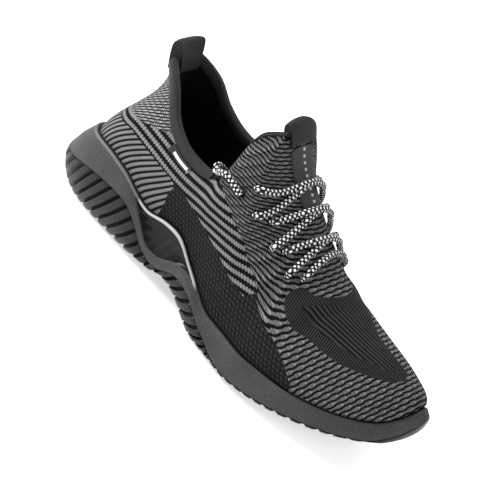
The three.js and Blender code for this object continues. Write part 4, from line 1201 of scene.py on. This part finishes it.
def make_upper(knit, lining):
    """The knit shell: face, inside and edges, each side in turn"""
    surface = Surface("knitted_upper")
    columns = np.linspace(0, 1, UPPER_COLUMNS)
    middle_columns = columns[columns >= TONGUE_AT - 1e-6]
    middle_columns = np.concatenate([[TONGUE_AT], middle_columns[middle_columns > TONGUE_AT + 1e-4]])
    columns = np.unique(np.concatenate([columns, [TONGUE_AT]]))
    collar_columns = columns[columns <= TONGUE_AT]
    rows = np.linspace(0, 1, UPPER_ROWS)
    middle_rows = np.linspace(0, 1, MIDDLE_ROWS)
    inner_rows = np.linspace(0, 1, INNER_ROWS)
    for side in SIDES:
        medial = side == MEDIAL
        points, normals = wall_points(side, columns, rows)
        moved = relief(points, side)
        fade_top = np.where(columns[:, None] < TONGUE_AT, smooth((1 - rows) / FADE_TOP), 1)
        fade = smooth(rows / FADE_FOOT) * fade_top
        outer = points + normals * (moved * fade)[..., None]
        surface.grid(outer, medial, 0, **knit_values(points, columns[:, None], side))
        middle, middle_normals = middle_points(side, middle_columns, middle_rows)
        middle_moved = relief(middle, side)
        middle_outer = middle + middle_normals * middle_moved[..., None]
        seam = outer[columns >= TONGUE_AT, -1]
        middle_outer[:, 0] = seam
        surface.grid(middle_outer, medial, 0, **knit_values(middle, middle_columns[:, None], side))

        flat_normal = raised(outline_normal(side, columns), 0)
        foot = footprint(side, columns)
        foot = raised(foot, bed_height(foot[:, 0] / SOLE_LENGTH) + GAP)
        inner, inner_normals = wall_points(side, columns[::2], inner_rows)
        inner = inner - inner_normals * UPPER_WALL
        inner_foot = (foot - flat_normal * UPPER_WALL)[::2]
        surface.grid(np.stack([foot, outer[:, 0]], 1), medial, 1)
        surface.grid(np.concatenate([inner_foot[:, None], inner], 1), not medial, 1)
        surface.grid(np.stack([inner_foot, foot[::2]], 1), medial, 1)
        inner_middle, inner_middle_normals = middle_points(side, middle_columns[::2], middle_rows[::2])
        inner_middle = inner_middle - inner_middle_normals * UPPER_WALL
        surface.grid(inner_middle, not medial, 1)
        edge_points, edge_normals = wall_points(side, collar_columns, np.array([1.0]))
        collar_outer = outer[columns <= TONGUE_AT, -1]
        collar_inner = edge_points[:, 0] - edge_normals[:, 0] * UPPER_WALL
        surface.grid(np.stack([collar_outer, collar_inner], 1), medial, 1)
        surface.grid(np.stack([middle_outer[0, ::2], inner_middle[0]], 1), medial, 1)
    piece = surface.build([knit, lining], weld=0.01, sharp_angle=70)
    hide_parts("upper")


TOOTH_PITCH = 2.5
UPRIGHT_PITCH = 4.9
UPRIGHT_LEAN = -0.47
FINE_PITCH = 0.9
PLAIN_PITCH = 3.28
PLAIN_ROW = 3.0
PLAIN_LEAN = 0.546
HEEL_ROW = 2.2
HEEL_COURSE = 5.0
VAMP_LONG_PITCH = 2.6
VAMP_CROSS_PITCH = 1.6
# Painted shade in the lace holes: millimetres from a hole's middle where the knit is fully dark and where
# the darkening ends
HOLE_SHADE_CORE = 1.6
HOLE_SHADE = 3.0
KNIT_BLACK = (0.0025, 0.0025, 0.0028)
KNIT_GREY = (0.42, 0.42, 0.415)


def heather(shader, row, course, stroke, tone):
    """Rows of light stitches with dark dashes between them, staggered like bricks"""
    number = shader.math("FLOOR", row)
    shifted = shader.math("MULTIPLY_ADD", number, 0.5, course)
    dash = shader.stripe(shifted, 0.55, 0.06)
    away = shader.math("ABSOLUTE", shader.math("SUBTRACT", shader.math("FRACT", row), 0.5))
    uneven = shader.noise(shader.vector(shader.times(course, 3.1), shader.times(row, 0.9)), 1.7, 1)
    gap = shader.math("MULTIPLY_ADD", dash, 0.15, shader.math("MULTIPLY_ADD", uneven, 0.12, away))
    light = shader.math("SUBTRACT", 1, shader.step(gap, 0.36, 0.46))
    lean = shader.math("MULTIPLY_ADD", row, 0.35, shader.times(course, stroke))
    strokes = shader.math("MULTIPLY_ADD", shader.wave(lean, 1), 0.75, 0.25)
    blob = shader.stripe(shader.add(shifted, 0.27), 0.20, 0.06)
    dot = shader.times(blob, shader.step(away, 0.36, 0.18))
    knit = shader.math("MAXIMUM", shader.times(strokes, 0.85), dot)
    return shader.times(shader.times(light, knit), tone)


def knit_material():
    shader = Shader("patterned_knit")
    x, y, z = shader.place()
    around = shader.attribute("around")
    band = shader.attribute("band")

    # Long bands: slanted loops whose ends show as teeth along both edges
    teeth = shader.wave(shader.math("MULTIPLY_ADD", band, 2.2, around), TOOTH_PITCH)
    away = shader.math("ABSOLUTE", shader.math("SUBTRACT", shader.math("FRACT", band), 0.5))
    toothed = shader.math("MULTIPLY_ADD", teeth, 0.12, away)
    band_tone = shader.math("SUBTRACT", 1, shader.step(toothed, 0.25, 0.33))
    band_tone = shader.times(band_tone, shader.math("MULTIPLY_ADD", teeth, -0.20, 0.50))

    # Upright stripes round the heel
    lean = shader.math("MULTIPLY_ADD", z, UPRIGHT_LEAN, around)
    fine = shader.wave(z, FINE_PITCH)
    upright_tone = shader.stripe(shader.times(lean, 1 / UPRIGHT_PITCH), 0.54, 0.10)
    upright_tone = shader.times(upright_tone, shader.math("MULTIPLY_ADD", fine, 0.06, 0.36))

    # Plain black knit with small stitches that lean back
    leaning = shader.math("MULTIPLY_ADD", z, PLAIN_LEAN, x)
    stitch = shader.times(shader.wave(leaning, PLAIN_PITCH), shader.wave(z, PLAIN_ROW))
    small = shader.times(shader.wave(leaning, PLAIN_PITCH / 2), shader.wave(z, PLAIN_ROW / 2))
    plain_tone = shader.math("MULTIPLY_ADD", small, 0.03, 0.002)
    plain_tone = shader.math("MULTIPLY_ADD", stitch, 0.06, plain_tone)

    # Heathers: on the throat and the toe, and round the heel
    row = shader.attribute("row")
    course = shader.attribute("course")
    front_tone = heather(shader, row, course, 7.5, 0.50)
    along = shader.math("MULTIPLY_ADD", z, 0.76, shader.times(around, 0.60))
    up = shader.math("MULTIPLY_ADD", z, -0.65, shader.times(around, 0.70))
    heel_row = shader.times(up, 1 / HEEL_ROW)
    heel_course = shader.times(along, 1 / HEEL_COURSE)
    heel_tone = heather(shader, heel_row, heel_course, 3.6, 0.85)

    # Vamp: fine lines along the foot in the middle and across it round the edge
    long_lines = shader.wave(shader.math("MULTIPLY_ADD", x, -0.30, y), VAMP_LONG_PITCH)
    cross_lines = shader.wave(shader.math("MULTIPLY_ADD", y, 0.35, x), VAMP_CROSS_PITCH)
    centre = shader.step(shader.attribute("centre"), -0.15, 0.15)
    lines = shader.step(shader.blend(centre, cross_lines, long_lines), 0.45, 0.95)
    vamp_tone = shader.math("MULTIPLY_ADD", lines, 0.085, 0.006)

    def region(name):
        return shader.step(shader.attribute(name), -0.12, 0.12)

    tone = shader.blend(region("upright"), plain_tone, upright_tone)
    tone = shader.blend(region("bands"), tone, band_tone)
    tone = shader.blend(region("heather"), tone, heel_tone)
    tone = shader.blend(region("front"), tone, front_tone)
    tone = shader.blend(region("vamp"), tone, vamp_tone)

    # A plain rolled edge round the tongue, and painted shade in the lace holes
    edge = shader.attribute("edge")
    rolled = shader.step(edge, EDGE_BAND + 0.2, EDGE_BAND - 0.2)
    stitched = shader.math("MULTIPLY_ADD", shader.wave(shader.add(x, z), 2.2), 1.2, edge)
    tone = shader.times(tone, shader.step(stitched, EDGE_BAND + 1.4, EDGE_BAND + 2.0))
    tone = shader.blend(rolled, tone, 0.05)
    # Painted shade: the knit darkens round each lace hole, where the hole opens into the shoe
    tone = shader.times(tone, shader.step(shader.attribute("hole"), HOLE_SHADE_CORE, HOLE_SHADE))

    wear = shader.noise(shader.vector(x, y, z), 0.09, 3)
    tone = shader.times(tone, shader.math("MULTIPLY_ADD", wear, 0.5, 0.75))
    loops = shader.wave(shader.add(around, z), 0.8)
    height = shader.math("MULTIPLY_ADD", tone, 2.0, shader.times(loops, 0.25))
    colour = shader.tint(tone, KNIT_BLACK, KNIT_GREY)
    return shader.finish(colour, 0.85, height, 0.6, 0.0006, Specular_IOR_Level=0.1)


def lining_material():
    shader = Shader("black_lining")
    x, y, z = shader.place()
    _, distance = shader.cells(shader.vector(shader.add(x, y), z), 0.3)
    return shader.finish((0.003, 0.003, 0.0034), 0.95, distance, 0.5, 0.0004, Specular_IOR_Level=0.1)


def tape_material(name, base, light, roughness):
    """Woven tape: a fine diagonal weave"""
    shader = Shader(name)
    x, y, z = shader.place()
    one = shader.wave(shader.add(x, z), 0.9)
    other = shader.wave(shader.math("SUBTRACT", shader.add(y, z), x), 0.9)
    weave = shader.math("MAXIMUM", one, other)
    colour = shader.tint(weave, base, light)
    return shader.finish(colour, roughness, weave, 0.5, 0.0003, Specular_IOR_Level=0.2)


def rubber_material():
    shader = Shader("black_rubber")
    x, y, z = shader.place()
    grain = shader.noise(shader.vector(x, y, z), 1.6, 3)
    patches = shader.noise(shader.vector(x, y, z), 0.05, 2)
    colour = shader.tint(patches, (0.002, 0.002, 0.0023), (0.006, 0.006, 0.0063))
    rough = shader.math("MULTIPLY_ADD", patches, 0.2, 0.30)
    return shader.finish(colour, rough, grain, 0.25, 0.0002, Specular_IOR_Level=0.3)


FACING_BLACK = (0.004, 0.004, 0.0045)
# Pale grey painted along the rim's edge: a painted highlight where the edge would catch light
RIM_HIGHLIGHT_GREY = (0.42, 0.42, 0.42)


def foam_material():
    """Speckled foam, with a painted highlight along the rim's edge and a black facing over the arch lens"""
    shader = Shader("grey_foam")
    x, y, z = shader.place()
    place = shader.vector(x, y, z)
    speckle = shader.noise(place, 2.2, 2)
    patches = shader.noise(place, 0.04, 2)
    tone = shader.math("MULTIPLY_ADD", shader.step(speckle, 0.42, 0.68), 0.45, shader.times(patches, 0.6))
    colour = shader.tint(tone, (0.010, 0.010, 0.0105), (0.085, 0.085, 0.086))
    colour = shader.cover(shader.attribute("facing"), colour, FACING_BLACK)
    # Painted highlight: the rim's edge turns pale grey where it would catch light
    colour = shader.cover(shader.attribute("lip"), colour, RIM_HIGHLIGHT_GREY)
    return shader.finish(colour, 0.6, speckle, 0.5, 0.0004, Specular_IOR_Level=0.2)


def insert_material():
    shader = Shader("dark_insert")
    x, y, z = shader.place()
    grain = shader.noise(shader.vector(x, y, z), 1.2, 2)
    return shader.finish((0.002, 0.002, 0.0025), 0.30, grain, 0.15, 0.0002, Specular_IOR_Level=0.2)


# Outsole
RIB_PITCH = 8.6
RIB_DEPTH = 2.2
LUG_DEPTH = 2.5
HEEL_BEVEL_WIDTH = 12
EDGE_BEVEL = 5.5
TOE_BEVEL_WIDTH = 13
EDGE_ROUND = 3.2
LUG_START = 0.55
EDGE_SHARE = 0.42
RIB_COUNT = round(HALF_PERIMETER / RIB_PITCH)
RIB_RELIEF = table(
    ("at", "depth"),
    [(0.00, 0.9), (0.08, 1.0), (0.55, 1.0), (0.64, 0.5), (0.90, 0.4), (0.95, 0.0), (1.00, 0.0)],
)
RIB_LEAN = table(
    ("at", "lean"),
    [(0.00, 0.0), (0.10, 0.42), (0.27, 0.56), (0.37, 0.70), (0.45, 1.1), (0.54, 1.5), (0.62, 0.6),
     (0.70, 0.0), (1.00, 0.0)],
)


def ground_inset(at):
    heel_part = mix(HEEL_BEVEL_WIDTH, EDGE_BEVEL, smooth((at - 0.30) / 0.25))
    return heel_part + (TOE_BEVEL_WIDTH - EDGE_BEVEL) * smooth((at - 0.88) / 0.12)


def lean_shift(at, height):
    return row_curve(RIB_LEAN, "lean", at) * height / HALF_PERIMETER


def rib_top(at):
    ground = bottom_height(along_at(at))
    height = rib_line(at) - ground
    for _ in range(12):
        place = np.clip(at + lean_shift(at, height), 0, 1)
        height = mix(height, rib_line(place) - ground, 0.5)
    return height


def tray_floor(along):
    return bottom_height(along) + TREAD_THICKNESS


def tray_foot_inset(at):
    return np.maximum(TRAY_WALL, ground_inset(at) * EDGE_SHARE + RIB_DEPTH) + TRAY_EASE


def valley_depth(share):
    """How deep a column stands in the valley between two ribs: 1 in the middle, 0 on a rib"""
    away = np.minimum(share, 1 - share)
    return 1 - smooth(away / 0.26)


def make_outsole(material):
    surface = Surface("rubber_outsole")
    steps = 12
    number = np.arange(RIB_COUNT * steps + 1)
    at = number / (RIB_COUNT * steps)
    valley = valley_depth((number % steps) / steps)
    valley[0] = valley[-1] = 0
    along = along_at(at)
    ground = bottom_height(along)
    top = rib_top(at)
    depth = valley * row_curve(RIB_RELIEF, "depth", at)
    bevel = ground_inset(at)
    for side in SIDES:
        spine = spine_point(at)
        foot = inset_point(side, at, bevel)
        flat = mix(spine, foot, LUG_START)

        def wall(height, inset):
            place = np.clip(at + lean_shift(at, height), 0, 1)
            return raised(inset_point(side, place, inset + depth * RIB_DEPTH), ground + height)

        def tread(height, inset):
            point = inset_point(side, at, inset + depth * RIB_DEPTH)
            return raised(point, bottom_height(point[:, 0] / SOLE_LENGTH) + height)

        edge_height = np.minimum(EDGE_ROUND + depth * LUG_DEPTH * 0.4, top * 0.8)
        middle_height = np.maximum(top * 0.55, np.minimum(EDGE_ROUND + 1, top * 0.9))
        low = tread(depth * LUG_DEPTH, bevel)
        edge = tread(edge_height, bevel * EDGE_SHARE)
        middle = wall(middle_height, 0.9)
        upper_wall = wall(top * 0.93, 0.6)
        rounded = wall(top, 1.2)
        stops = [low, low, edge, middle, upper_wall, rounded]
        arc = [low]
        for a, b, c, d in zip(stops, stops[1:], stops[2:], stops[3:]):
            arc += [curve_between(a, b, c, d, s) for s in (0.25, 0.5, 0.75, 1.0)]
        top_place = np.clip(at + lean_shift(at, top), 0, 1)
        inner_top = raised(inset_point(side, top_place, TRAY_WALL), ground + top)
        inner_foot = inset_point(side, at, tray_foot_inset(at))
        inner_foot = raised(inner_foot, tray_floor(inner_foot[:, 0] / SOLE_LENGTH))
        spine_ground = bottom_height(spine[:, 0] / SOLE_LENGTH)
        flat_ground = bottom_height(flat[:, 0] / SOLE_LENGTH)
        columns = [raised(spine, spine_ground), raised(flat, flat_ground), *arc, rounded, inner_top]
        columns += [inner_foot, raised(spine, spine_ground + TREAD_THICKNESS)]
        surface.grid(np.stack(columns, 1), side == MEDIAL)
    piece = surface.build([material], weld=0.01, sharp_angle=60)
    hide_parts("outsole")


# Midsole
SHOULDER_INSET = 0.8
BELLY_SHARE = 0.42
RIM_EASE = 0.8
INSERT = table(
    ("at", "low", "high"),
    [
        (0.290, 0.86, 0.92),
        (0.320, 0.45, 0.93),
        (0.350, 0.20, 0.93),
        (0.380, 0.20, 0.92),
        (0.410, 0.32, 0.90),
        (0.440, 0.54, 0.88),
        (0.465, 0.78, 0.86),
    ],
)
# The painted highlight along the rim's edge: where it starts and ends up the wall, how fast it fades, and
# how strong it is round the heel
RIM_HIGHLIGHT_START = 0.965
RIM_HIGHLIGHT_END = 1.015
RIM_HIGHLIGHT_FADE = 0.015
CROWN_STEP = 0.01
FACING_FADE = 0.3
RIM_HIGHLIGHT_HEEL = 0.25
POCKET_DEPTH = 2.6
POCKET_EDGE = 1.1
INSERT_RECESS = 0.7
INSERT_HOLLOW = 1.5
LENS_RIB = 0.28
LENS_RIB_PITCH = 7.0
LENS_RIB_SLANT = 9


def midsole_wall(side, at, share, depth):
    inset = rim_inset_at(at)
    belly = inset * BELLY_SHARE
    out = np.where(share < 0.5, mix(SHOULDER_INSET, belly, share * 2), mix(belly, inset, share * 2 - 1))
    point = inset_point(side, at, out + depth)
    return raised(point, mix(rib_line(at) + SHOULDER_GAP, rim_line(at) - RIM_EASE, share))


def pocket(at, share):
    """Distance in from the edge of the arch insert's pocket, in millimetres"""
    wall = rim_line(at) - rib_line(at)
    low = (share - row_curve(INSERT, "low", at)) * wall
    high = (row_curve(INSERT, "high", at) - share) * wall
    back = (at - INSERT["at"][0]) * HALF_PERIMETER
    front = (INSERT["at"][-1] - at) * HALF_PERIMETER
    return np.minimum(np.minimum(low, high), np.minimum(back, front))


def make_midsole(material):
    surface = Surface("foam_midsole")
    at = np.unique(np.concatenate([np.linspace(0, 1, 353), np.linspace(0.27, 0.49, 190)]))
    share = np.linspace(0, 1, 41)
    for side in SIDES:
        places, shares = np.meshgrid(at, share, indexing="ij")
        sunk = POCKET_DEPTH * smooth(pocket(places, shares) / POCKET_EDGE)
        wall = midsole_wall(side, places, shares, sunk)
        inset = rim_inset_at(at)
        spine = spine_point(at)
        foot = inset_point(side, at, tray_foot_inset(at) + TRAY_GAP)
        foot_height = tray_floor(foot[:, 0] / SOLE_LENGTH) + GAP
        ribs = rib_line(at) + SHOULDER_GAP
        rim = rim_line(at)
        rim_inner = inset_point(side, at, inset + RIM_THICKNESS)
        below = [
            raised(spine, tray_floor(spine[:, 0] / SOLE_LENGTH) + GAP),
            raised(foot, foot_height),
            raised(inset_point(side, at, TRAY_WALL + TRAY_GAP), ribs),
        ]
        crown = [
            raised(inset_point(side, at, inset + RIM_THICKNESS * share), rim - RIM_EASE * drop)
            for share, drop in ((0.12, 0.45), (0.32, 0.08), (0.6, 0.0), (0.88, 0.2))
        ]
        above = [
            raised(rim_inner, rim - RIM_EASE),
            raised(rim_inner, bed_height(rim_inner[:, 0] / SOLE_LENGTH)),
            raised(spine, bed_height(spine[:, 0] / SOLE_LENGTH)),
        ]
        columns = np.concatenate([np.stack(below, 1), wall, np.stack(crown + above, 1)], 1)
        first, last = INSERT["at"][0], INSERT["at"][-1]
        # How strongly the painted rim highlight shows along the shoe: full over the arch lens, weaker round
        # the heel
        wing = smooth((at - first) / RIM_HIGHLIGHT_FADE) * (1 - smooth((at - last - RIM_HIGHLIGHT_FADE) / RIM_HIGHLIGHT_FADE))
        heel = RIM_HIGHLIGHT_HEEL * smooth(at / FLARE_END) * (1 - smooth((at - first) / RIM_HIGHLIGHT_FADE))
        past = 1 + CROWN_STEP * np.arange(1, 1 + len(crown + above))
        place = np.concatenate([np.zeros(len(below)), share, past])
        # The painted highlight lies in a thin band at the top edge of the wall
        fall = smooth((place - RIM_HIGHLIGHT_END) / CROWN_STEP)
        lip = smooth((place - RIM_HIGHLIGHT_START) / RIM_HIGHLIGHT_FADE) * (1 - fall)
        wall_height = (rim - ribs)[:, None]
        over_lens = (place - row_curve(INSERT, "high", at)[:, None]) * wall_height
        inner = ((at > first) & (at < last))[:, None] * smooth(over_lens / FACING_FADE + 1)
        shade = inner * (1 - lip)
        surface.grid(columns, side == MEDIAL, lip=lip * np.maximum(wing, heel)[:, None], facing=shade)
    piece = surface.build([material], weld=0.01, sharp_angle=60)
    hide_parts("midsole")


def make_inserts(material):
    at = np.linspace(INSERT["at"][0], INSERT["at"][-1], 91)
    share = np.linspace(0, 1, 31)
    for side, name in zip(SIDES, ("lateral", "medial")):
        surface = Surface(f"arch_lens_{name}")
        places, shares = np.meshgrid(at, share, indexing="ij")
        up = mix(row_curve(INSERT, "low", places), row_curve(INSERT, "high", places), shares)
        length_share = mix(0.02, 0.98, (places - at[0]) / (at[-1] - at[0]))
        hollow = INSERT_HOLLOW * np.sin(math.pi * shares) * np.sin(math.pi * length_share)
        phase = (places * HALF_PERIMETER - shares * LENS_RIB_SLANT) / LENS_RIB_PITCH
        ribs = LENS_RIB * np.cos(2 * math.pi * phase) * np.sin(math.pi * shares)
        face = midsole_wall(side, places, up, INSERT_RECESS + hollow - ribs)
        surface.grid(face, side == MEDIAL)
        piece = surface.build([material], weld=0.002)
        thick = piece.modifiers.new("thickness", "SOLIDIFY")
        thick.thickness = 0.0006
        thick.offset = -1
        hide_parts(f"arch_insert_{name}")


def make_insole(material):
    surface = Surface("fabric_insole")
    at = np.linspace(0, 1, 241)
    for side in SIDES:
        inset = rim_inset_at(at) + RIM_THICKNESS + FOOT_GAP + UPPER_WALL + INSOLE_GAP
        spine = spine_point(at)
        edge = inset_point(side, at, inset)
        shoulder = inset_point(side, at, inset + 1.1)
        bed_edge = inset_point(side, at, rim_inset_at(at) + RIM_THICKNESS)
        share = (length_of(edge - spine) / length_of(bed_edge - spine))[:, 0]
        spine_bed = bed_height(spine[:, 0] / SOLE_LENGTH) + GAP
        edge_bed = mix(spine_bed, bed_height(bed_edge[:, 0] / SOLE_LENGTH) + GAP, share)
        thick = INSOLE_THICKNESS
        columns = [
            raised(spine, spine_bed),
            raised(edge, edge_bed),
            raised(edge, edge_bed + thick),
            raised(shoulder, edge_bed + thick + 1.1),
            raised(mix(spine, shoulder, 0.6), mix(spine_bed, edge_bed, 0.6) + thick + 0.2),
            raised(spine, spine_bed + thick),
        ]
        surface.grid(np.stack(columns, 1), side == MEDIAL)
    piece = surface.build([material], weld=0.01)
    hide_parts("insole")


# Tapes
def both_sides(maker, end, count):
    """Rings from the lateral end round the heel to the medial end"""
    at = np.linspace(0, end, count)
    lateral = maker(LATERAL, at)[::-1]
    medial = maker(MEDIAL, at)
    return np.concatenate([lateral[:-1], medial])


def ring_tube(surface, rings, turned, **values):
    """A tube through closed rings, capped at both ends"""
    closed = np.concatenate([rings, rings[:, :1]], 1)
    surface.grid(closed, turned, **values)
    for end, flipped in ((0, turned), (-1, not turned)):
        middle = rings[end].mean(0)
        cap = np.stack([closed[end], np.broadcast_to(middle, closed[end].shape)])
        surface.grid(cap, flipped)


def binding_rings(side, at):
    low = tape_share(side, at)
    up = edge_up(side, at)[:, None]
    rise = np.linspace(0, 1, 6)
    points, normals = wall_points(side, at, mix(low[:, None], 1, rise))
    swell = 0.35 * np.sin(math.pi * rise)[:, None]
    outside = BINDING_GAP + BINDING_TAPE + swell
    inside_face = -UPPER_WALL - BINDING_GAP - BINDING_TAPE - swell
    top, top_normal = points[:, -1:], normals[:, -1:]
    middle = -UPPER_WALL / 2
    reach = UPPER_WALL / 2 + BINDING_GAP + BINDING_TAPE
    angle = np.linspace(0, math.pi, 9)[1:-1, None]
    rise_over = up * (BINDING_GAP + BINDING_TAPE) * np.sin(angle)
    over = top + top_normal * (middle + reach * np.cos(angle)) + rise_over
    inner_low = points[:, :1] + normals[:, :1] * (-UPPER_WALL - BINDING_GAP)
    inner_high = top + top_normal * (-UPPER_WALL - BINDING_GAP) + up * 0.1
    outer_high = top + top_normal * BINDING_GAP + up * 0.1
    outer_low = points[:, :1] + normals[:, :1] * 0.1
    return np.concatenate([
        outer_low, points + normals * outside, over, (points + normals * inside_face)[:, ::-1],
        inner_low, inner_high, outer_high,
    ], 1)


def make_binding(material):
    surface = Surface("collar_tape")
    ring_tube(surface, both_sides(binding_rings, BINDING_END, 150), True)
    piece = surface.build([material], weld=0.002, sharp_angle=60)
    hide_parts("collar_binding")


def resampled(line, count):
    """A line's points at an even number of steps"""
    old = np.linspace(0, 1, len(line))
    new = np.linspace(0, 1, count)
    return np.stack([np.interp(new, old, line[:, i]) for i in range(3)], -1)


def strap_ring(low, low_normal, bend, bend_normal, top, top_normal, up, half_gap, rise):
    """A strap folded over an edge, seen from its side"""
    def line(reach):
        wall = reach - UPPER_WALL / 2
        start = low + low_normal * wall
        turn = bend + bend_normal * wall
        edge = top + top_normal * wall
        above = top + top_normal * (reach * 0.9 - UPPER_WALL / 2) + up * rise * 0.5
        return [start, turn, edge, above]

    def crest(reach, height):
        return top + top_normal * (reach - UPPER_WALL / 2) + up * height

    def whole(reach, height):
        points = line(reach) + [crest(reach * 0.6, height * 0.93), crest(0, height)]
        points += [crest(-reach * 0.6, height * 0.93)] + line(-reach)[::-1]
        points = np.stack(points, 1)
        return np.stack([resampled(smooth_line(row, 1.0)[0], 40) for row in points])

    outer = whole(half_gap + STRAP_THICKNESS, rise)
    inner = whole(half_gap, rise - STRAP_THICKNESS)
    return np.concatenate([outer, inner[:, ::-1]], 1)


def heel_loop_rings(side, at):
    low = share_below_top(side, at, HEEL_LOOP_LEG)
    bend = tape_share(side, at)
    shares = np.stack([low, bend, np.ones(len(at))], 1)
    points, normals = wall_points(side, at, shares)
    return strap_ring(
        points[:, 0], normals[:, 0], points[:, 1], normals[:, 1], points[:, 2], normals[:, 2],
        edge_up(side, at), UPPER_WALL / 2 + BINDING_GAP + BINDING_TAPE + STRAP_GAP, HEEL_LOOP_RISE,
    )


def make_heel_loop(material):
    surface = Surface("heel_tab")
    ring_tube(surface, both_sides(heel_loop_rings, HEEL_LOOP_END, 13), True)
    piece = surface.build([material], weld=0.002, sharp_angle=60)
    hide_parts("heel_pull_loop")


def make_tongue_loop(material):
    across = np.linspace(-TONGUE_LOOP_WIDTH / 2, TONGUE_LOOP_WIDTH / 2, 25)

    def place(share):
        at = np.full(len(across), mix(TONGUE_AT, TONGUE_LOOP_END, share))
        point = on_skin(at, across, 0)
        return point, on_skin(at, across, 1) - point

    low, low_normal = place(1)
    bend, bend_normal = place(0.5)
    top, top_normal = place(0)
    rings = strap_ring(
        low, low_normal, bend, bend_normal, top, top_normal, unit(top - bend),
        UPPER_WALL / 2 + STRAP_GAP + GAP, TONGUE_LOOP_RISE,
    )
    surface = Surface("tongue_tab")
    ring_tube(surface, rings, False)
    piece = surface.build([material], weld=0.002, sharp_angle=60)
    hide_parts("tongue_pull_loop")


def round_ring(face):
    """A face's values, carried round the ring of its upper and lower side"""
    return np.concatenate([face, face[:, ::-1], face[:, :1]], 1)


def make_label(material):
    """A woven tape down the middle of the tongue"""
    run = np.linspace(0, 1, 61)
    over = np.linspace(-1, 1, 25)
    at = mix(LABEL_START, LABEL_END, run)[:, None]
    half = mix(LABEL_WIDTH, LABEL_END_WIDTH, run)[:, None] / 2
    across = half * over
    edge = 0.3 * smooth((1 - np.abs(over)) / 0.12)
    top = on_skin(at + 0 * across, across, LABEL_GAP + LABEL_THICKNESS - 0.3 + edge)
    under = on_skin(at + 0 * across, across, LABEL_GAP - 0.3)
    rings = np.concatenate([top, under[:, ::-1]], 1)
    length = np.broadcast_to(run[:, None], across.shape) * LABEL_LENGTH
    width = across
    surface = Surface("tongue_tape")
    ring_tube(surface, rings, False, run=round_ring(length), width=round_ring(width))
    piece = surface.build([material], weld=0.002, sharp_angle=60)
    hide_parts("tongue_label")


def label_material():
    """A dark weave with one plain row of pale dots"""
    shader = Shader("woven_label")
    run = shader.attribute("run")
    width = shader.attribute("width")
    weave = shader.math("MAXIMUM", shader.wave(shader.add(run, width), 0.8), shader.wave(width, 0.7))
    dots = shader.times(
        shader.stripe(shader.times(run, 1 / LABEL_DOT_PITCH), 0.42, 0.05),
        shader.step(shader.math("ABSOLUTE", width), 1.3, 1.0),
    )
    tone = shader.math("MULTIPLY_ADD", weave, 0.05, shader.times(dots, 0.7))
    colour = shader.tint(tone, (0.008, 0.008, 0.009), (0.6, 0.6, 0.6))
    return shader.finish(colour, 0.8, weave, 0.4, 0.0003)


def make_tag(material):
    """A small woven tab under the binding on the lateral side"""
    run = np.linspace(0, 1, 31)
    at = mix(TAG_START, TAG_END, run)
    top = share_below_top(LATERAL, at, BINDING_WIDTH + TAG_CLEARANCE)
    low = share_below_top(LATERAL, at, BINDING_WIDTH + TAG_CLEARANCE + TAG_HEIGHT)
    over = np.linspace(0, 1, 11)
    points, normals = wall_points(LATERAL, at, mix(top[:, None], low[:, None], over))
    lift = relief(points, LATERAL)[..., None] + GAP
    outer = points + normals * (lift + LABEL_THICKNESS)
    inner = points + normals * (lift - 0.2)
    rings = np.concatenate([outer, inner[:, ::-1]], 1)
    length = np.broadcast_to(run[:, None] * TAG_LENGTH, (len(run), len(over)))
    width = np.broadcast_to(over * TAG_HEIGHT, length.shape)
    surface = Surface("side_label")
    ring_tube(surface, rings, True, run=round_ring(length), width=round_ring(width))
    piece = surface.build([material], weld=0.002, sharp_angle=60)
    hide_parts("side_tag")


# Where the bar's edges fade, in millimetres from the tag's back and upper edge
BAR_BACK = (4.4, 4.8)
BAR_FRONT = (20.6, 20.2)
BAR_TOP = (1.5, 1.8)
BAR_FOOT = (3.8, 3.5)


def tag_material():
    """A dark weave with one plain pale bar"""
    shader = Shader("woven_tag")
    run = shader.attribute("run")
    width = shader.attribute("width")
    bar = shader.times(
        shader.times(shader.step(run, *BAR_BACK), shader.step(run, *BAR_FRONT)),
        shader.times(shader.step(width, *BAR_TOP), shader.step(width, *BAR_FOOT)),
    )
    weave = shader.wave(shader.add(run, width), 0.7)
    tone = shader.times(bar, shader.math("MULTIPLY_ADD", weave, 0.2, 0.8))
    colour = shader.tint(tone, (0.01, 0.01, 0.011), (0.85, 0.85, 0.84))
    return shader.finish(colour, 0.8, weave, 0.4, 0.0003)


make_camera()
lace = lace_material()
make_lace_end(lace)
make_laces(lace)
make_lights()
make_floor()
lining = lining_material()
make_upper(knit_material(), lining)
rubber = rubber_material()
make_outsole(rubber)
make_midsole(foam_material())
make_inserts(insert_material())
make_insole(lining)
make_binding(tape_material("binding_tape", (0.006, 0.006, 0.0065), (0.020, 0.020, 0.021), 0.55))
strap = tape_material("strap_tape", (0.004, 0.004, 0.0045), (0.012, 0.012, 0.0125), 0.55)
make_heel_loop(strap)
make_tongue_loop(strap)
make_label(label_material())
make_tag(tag_material())
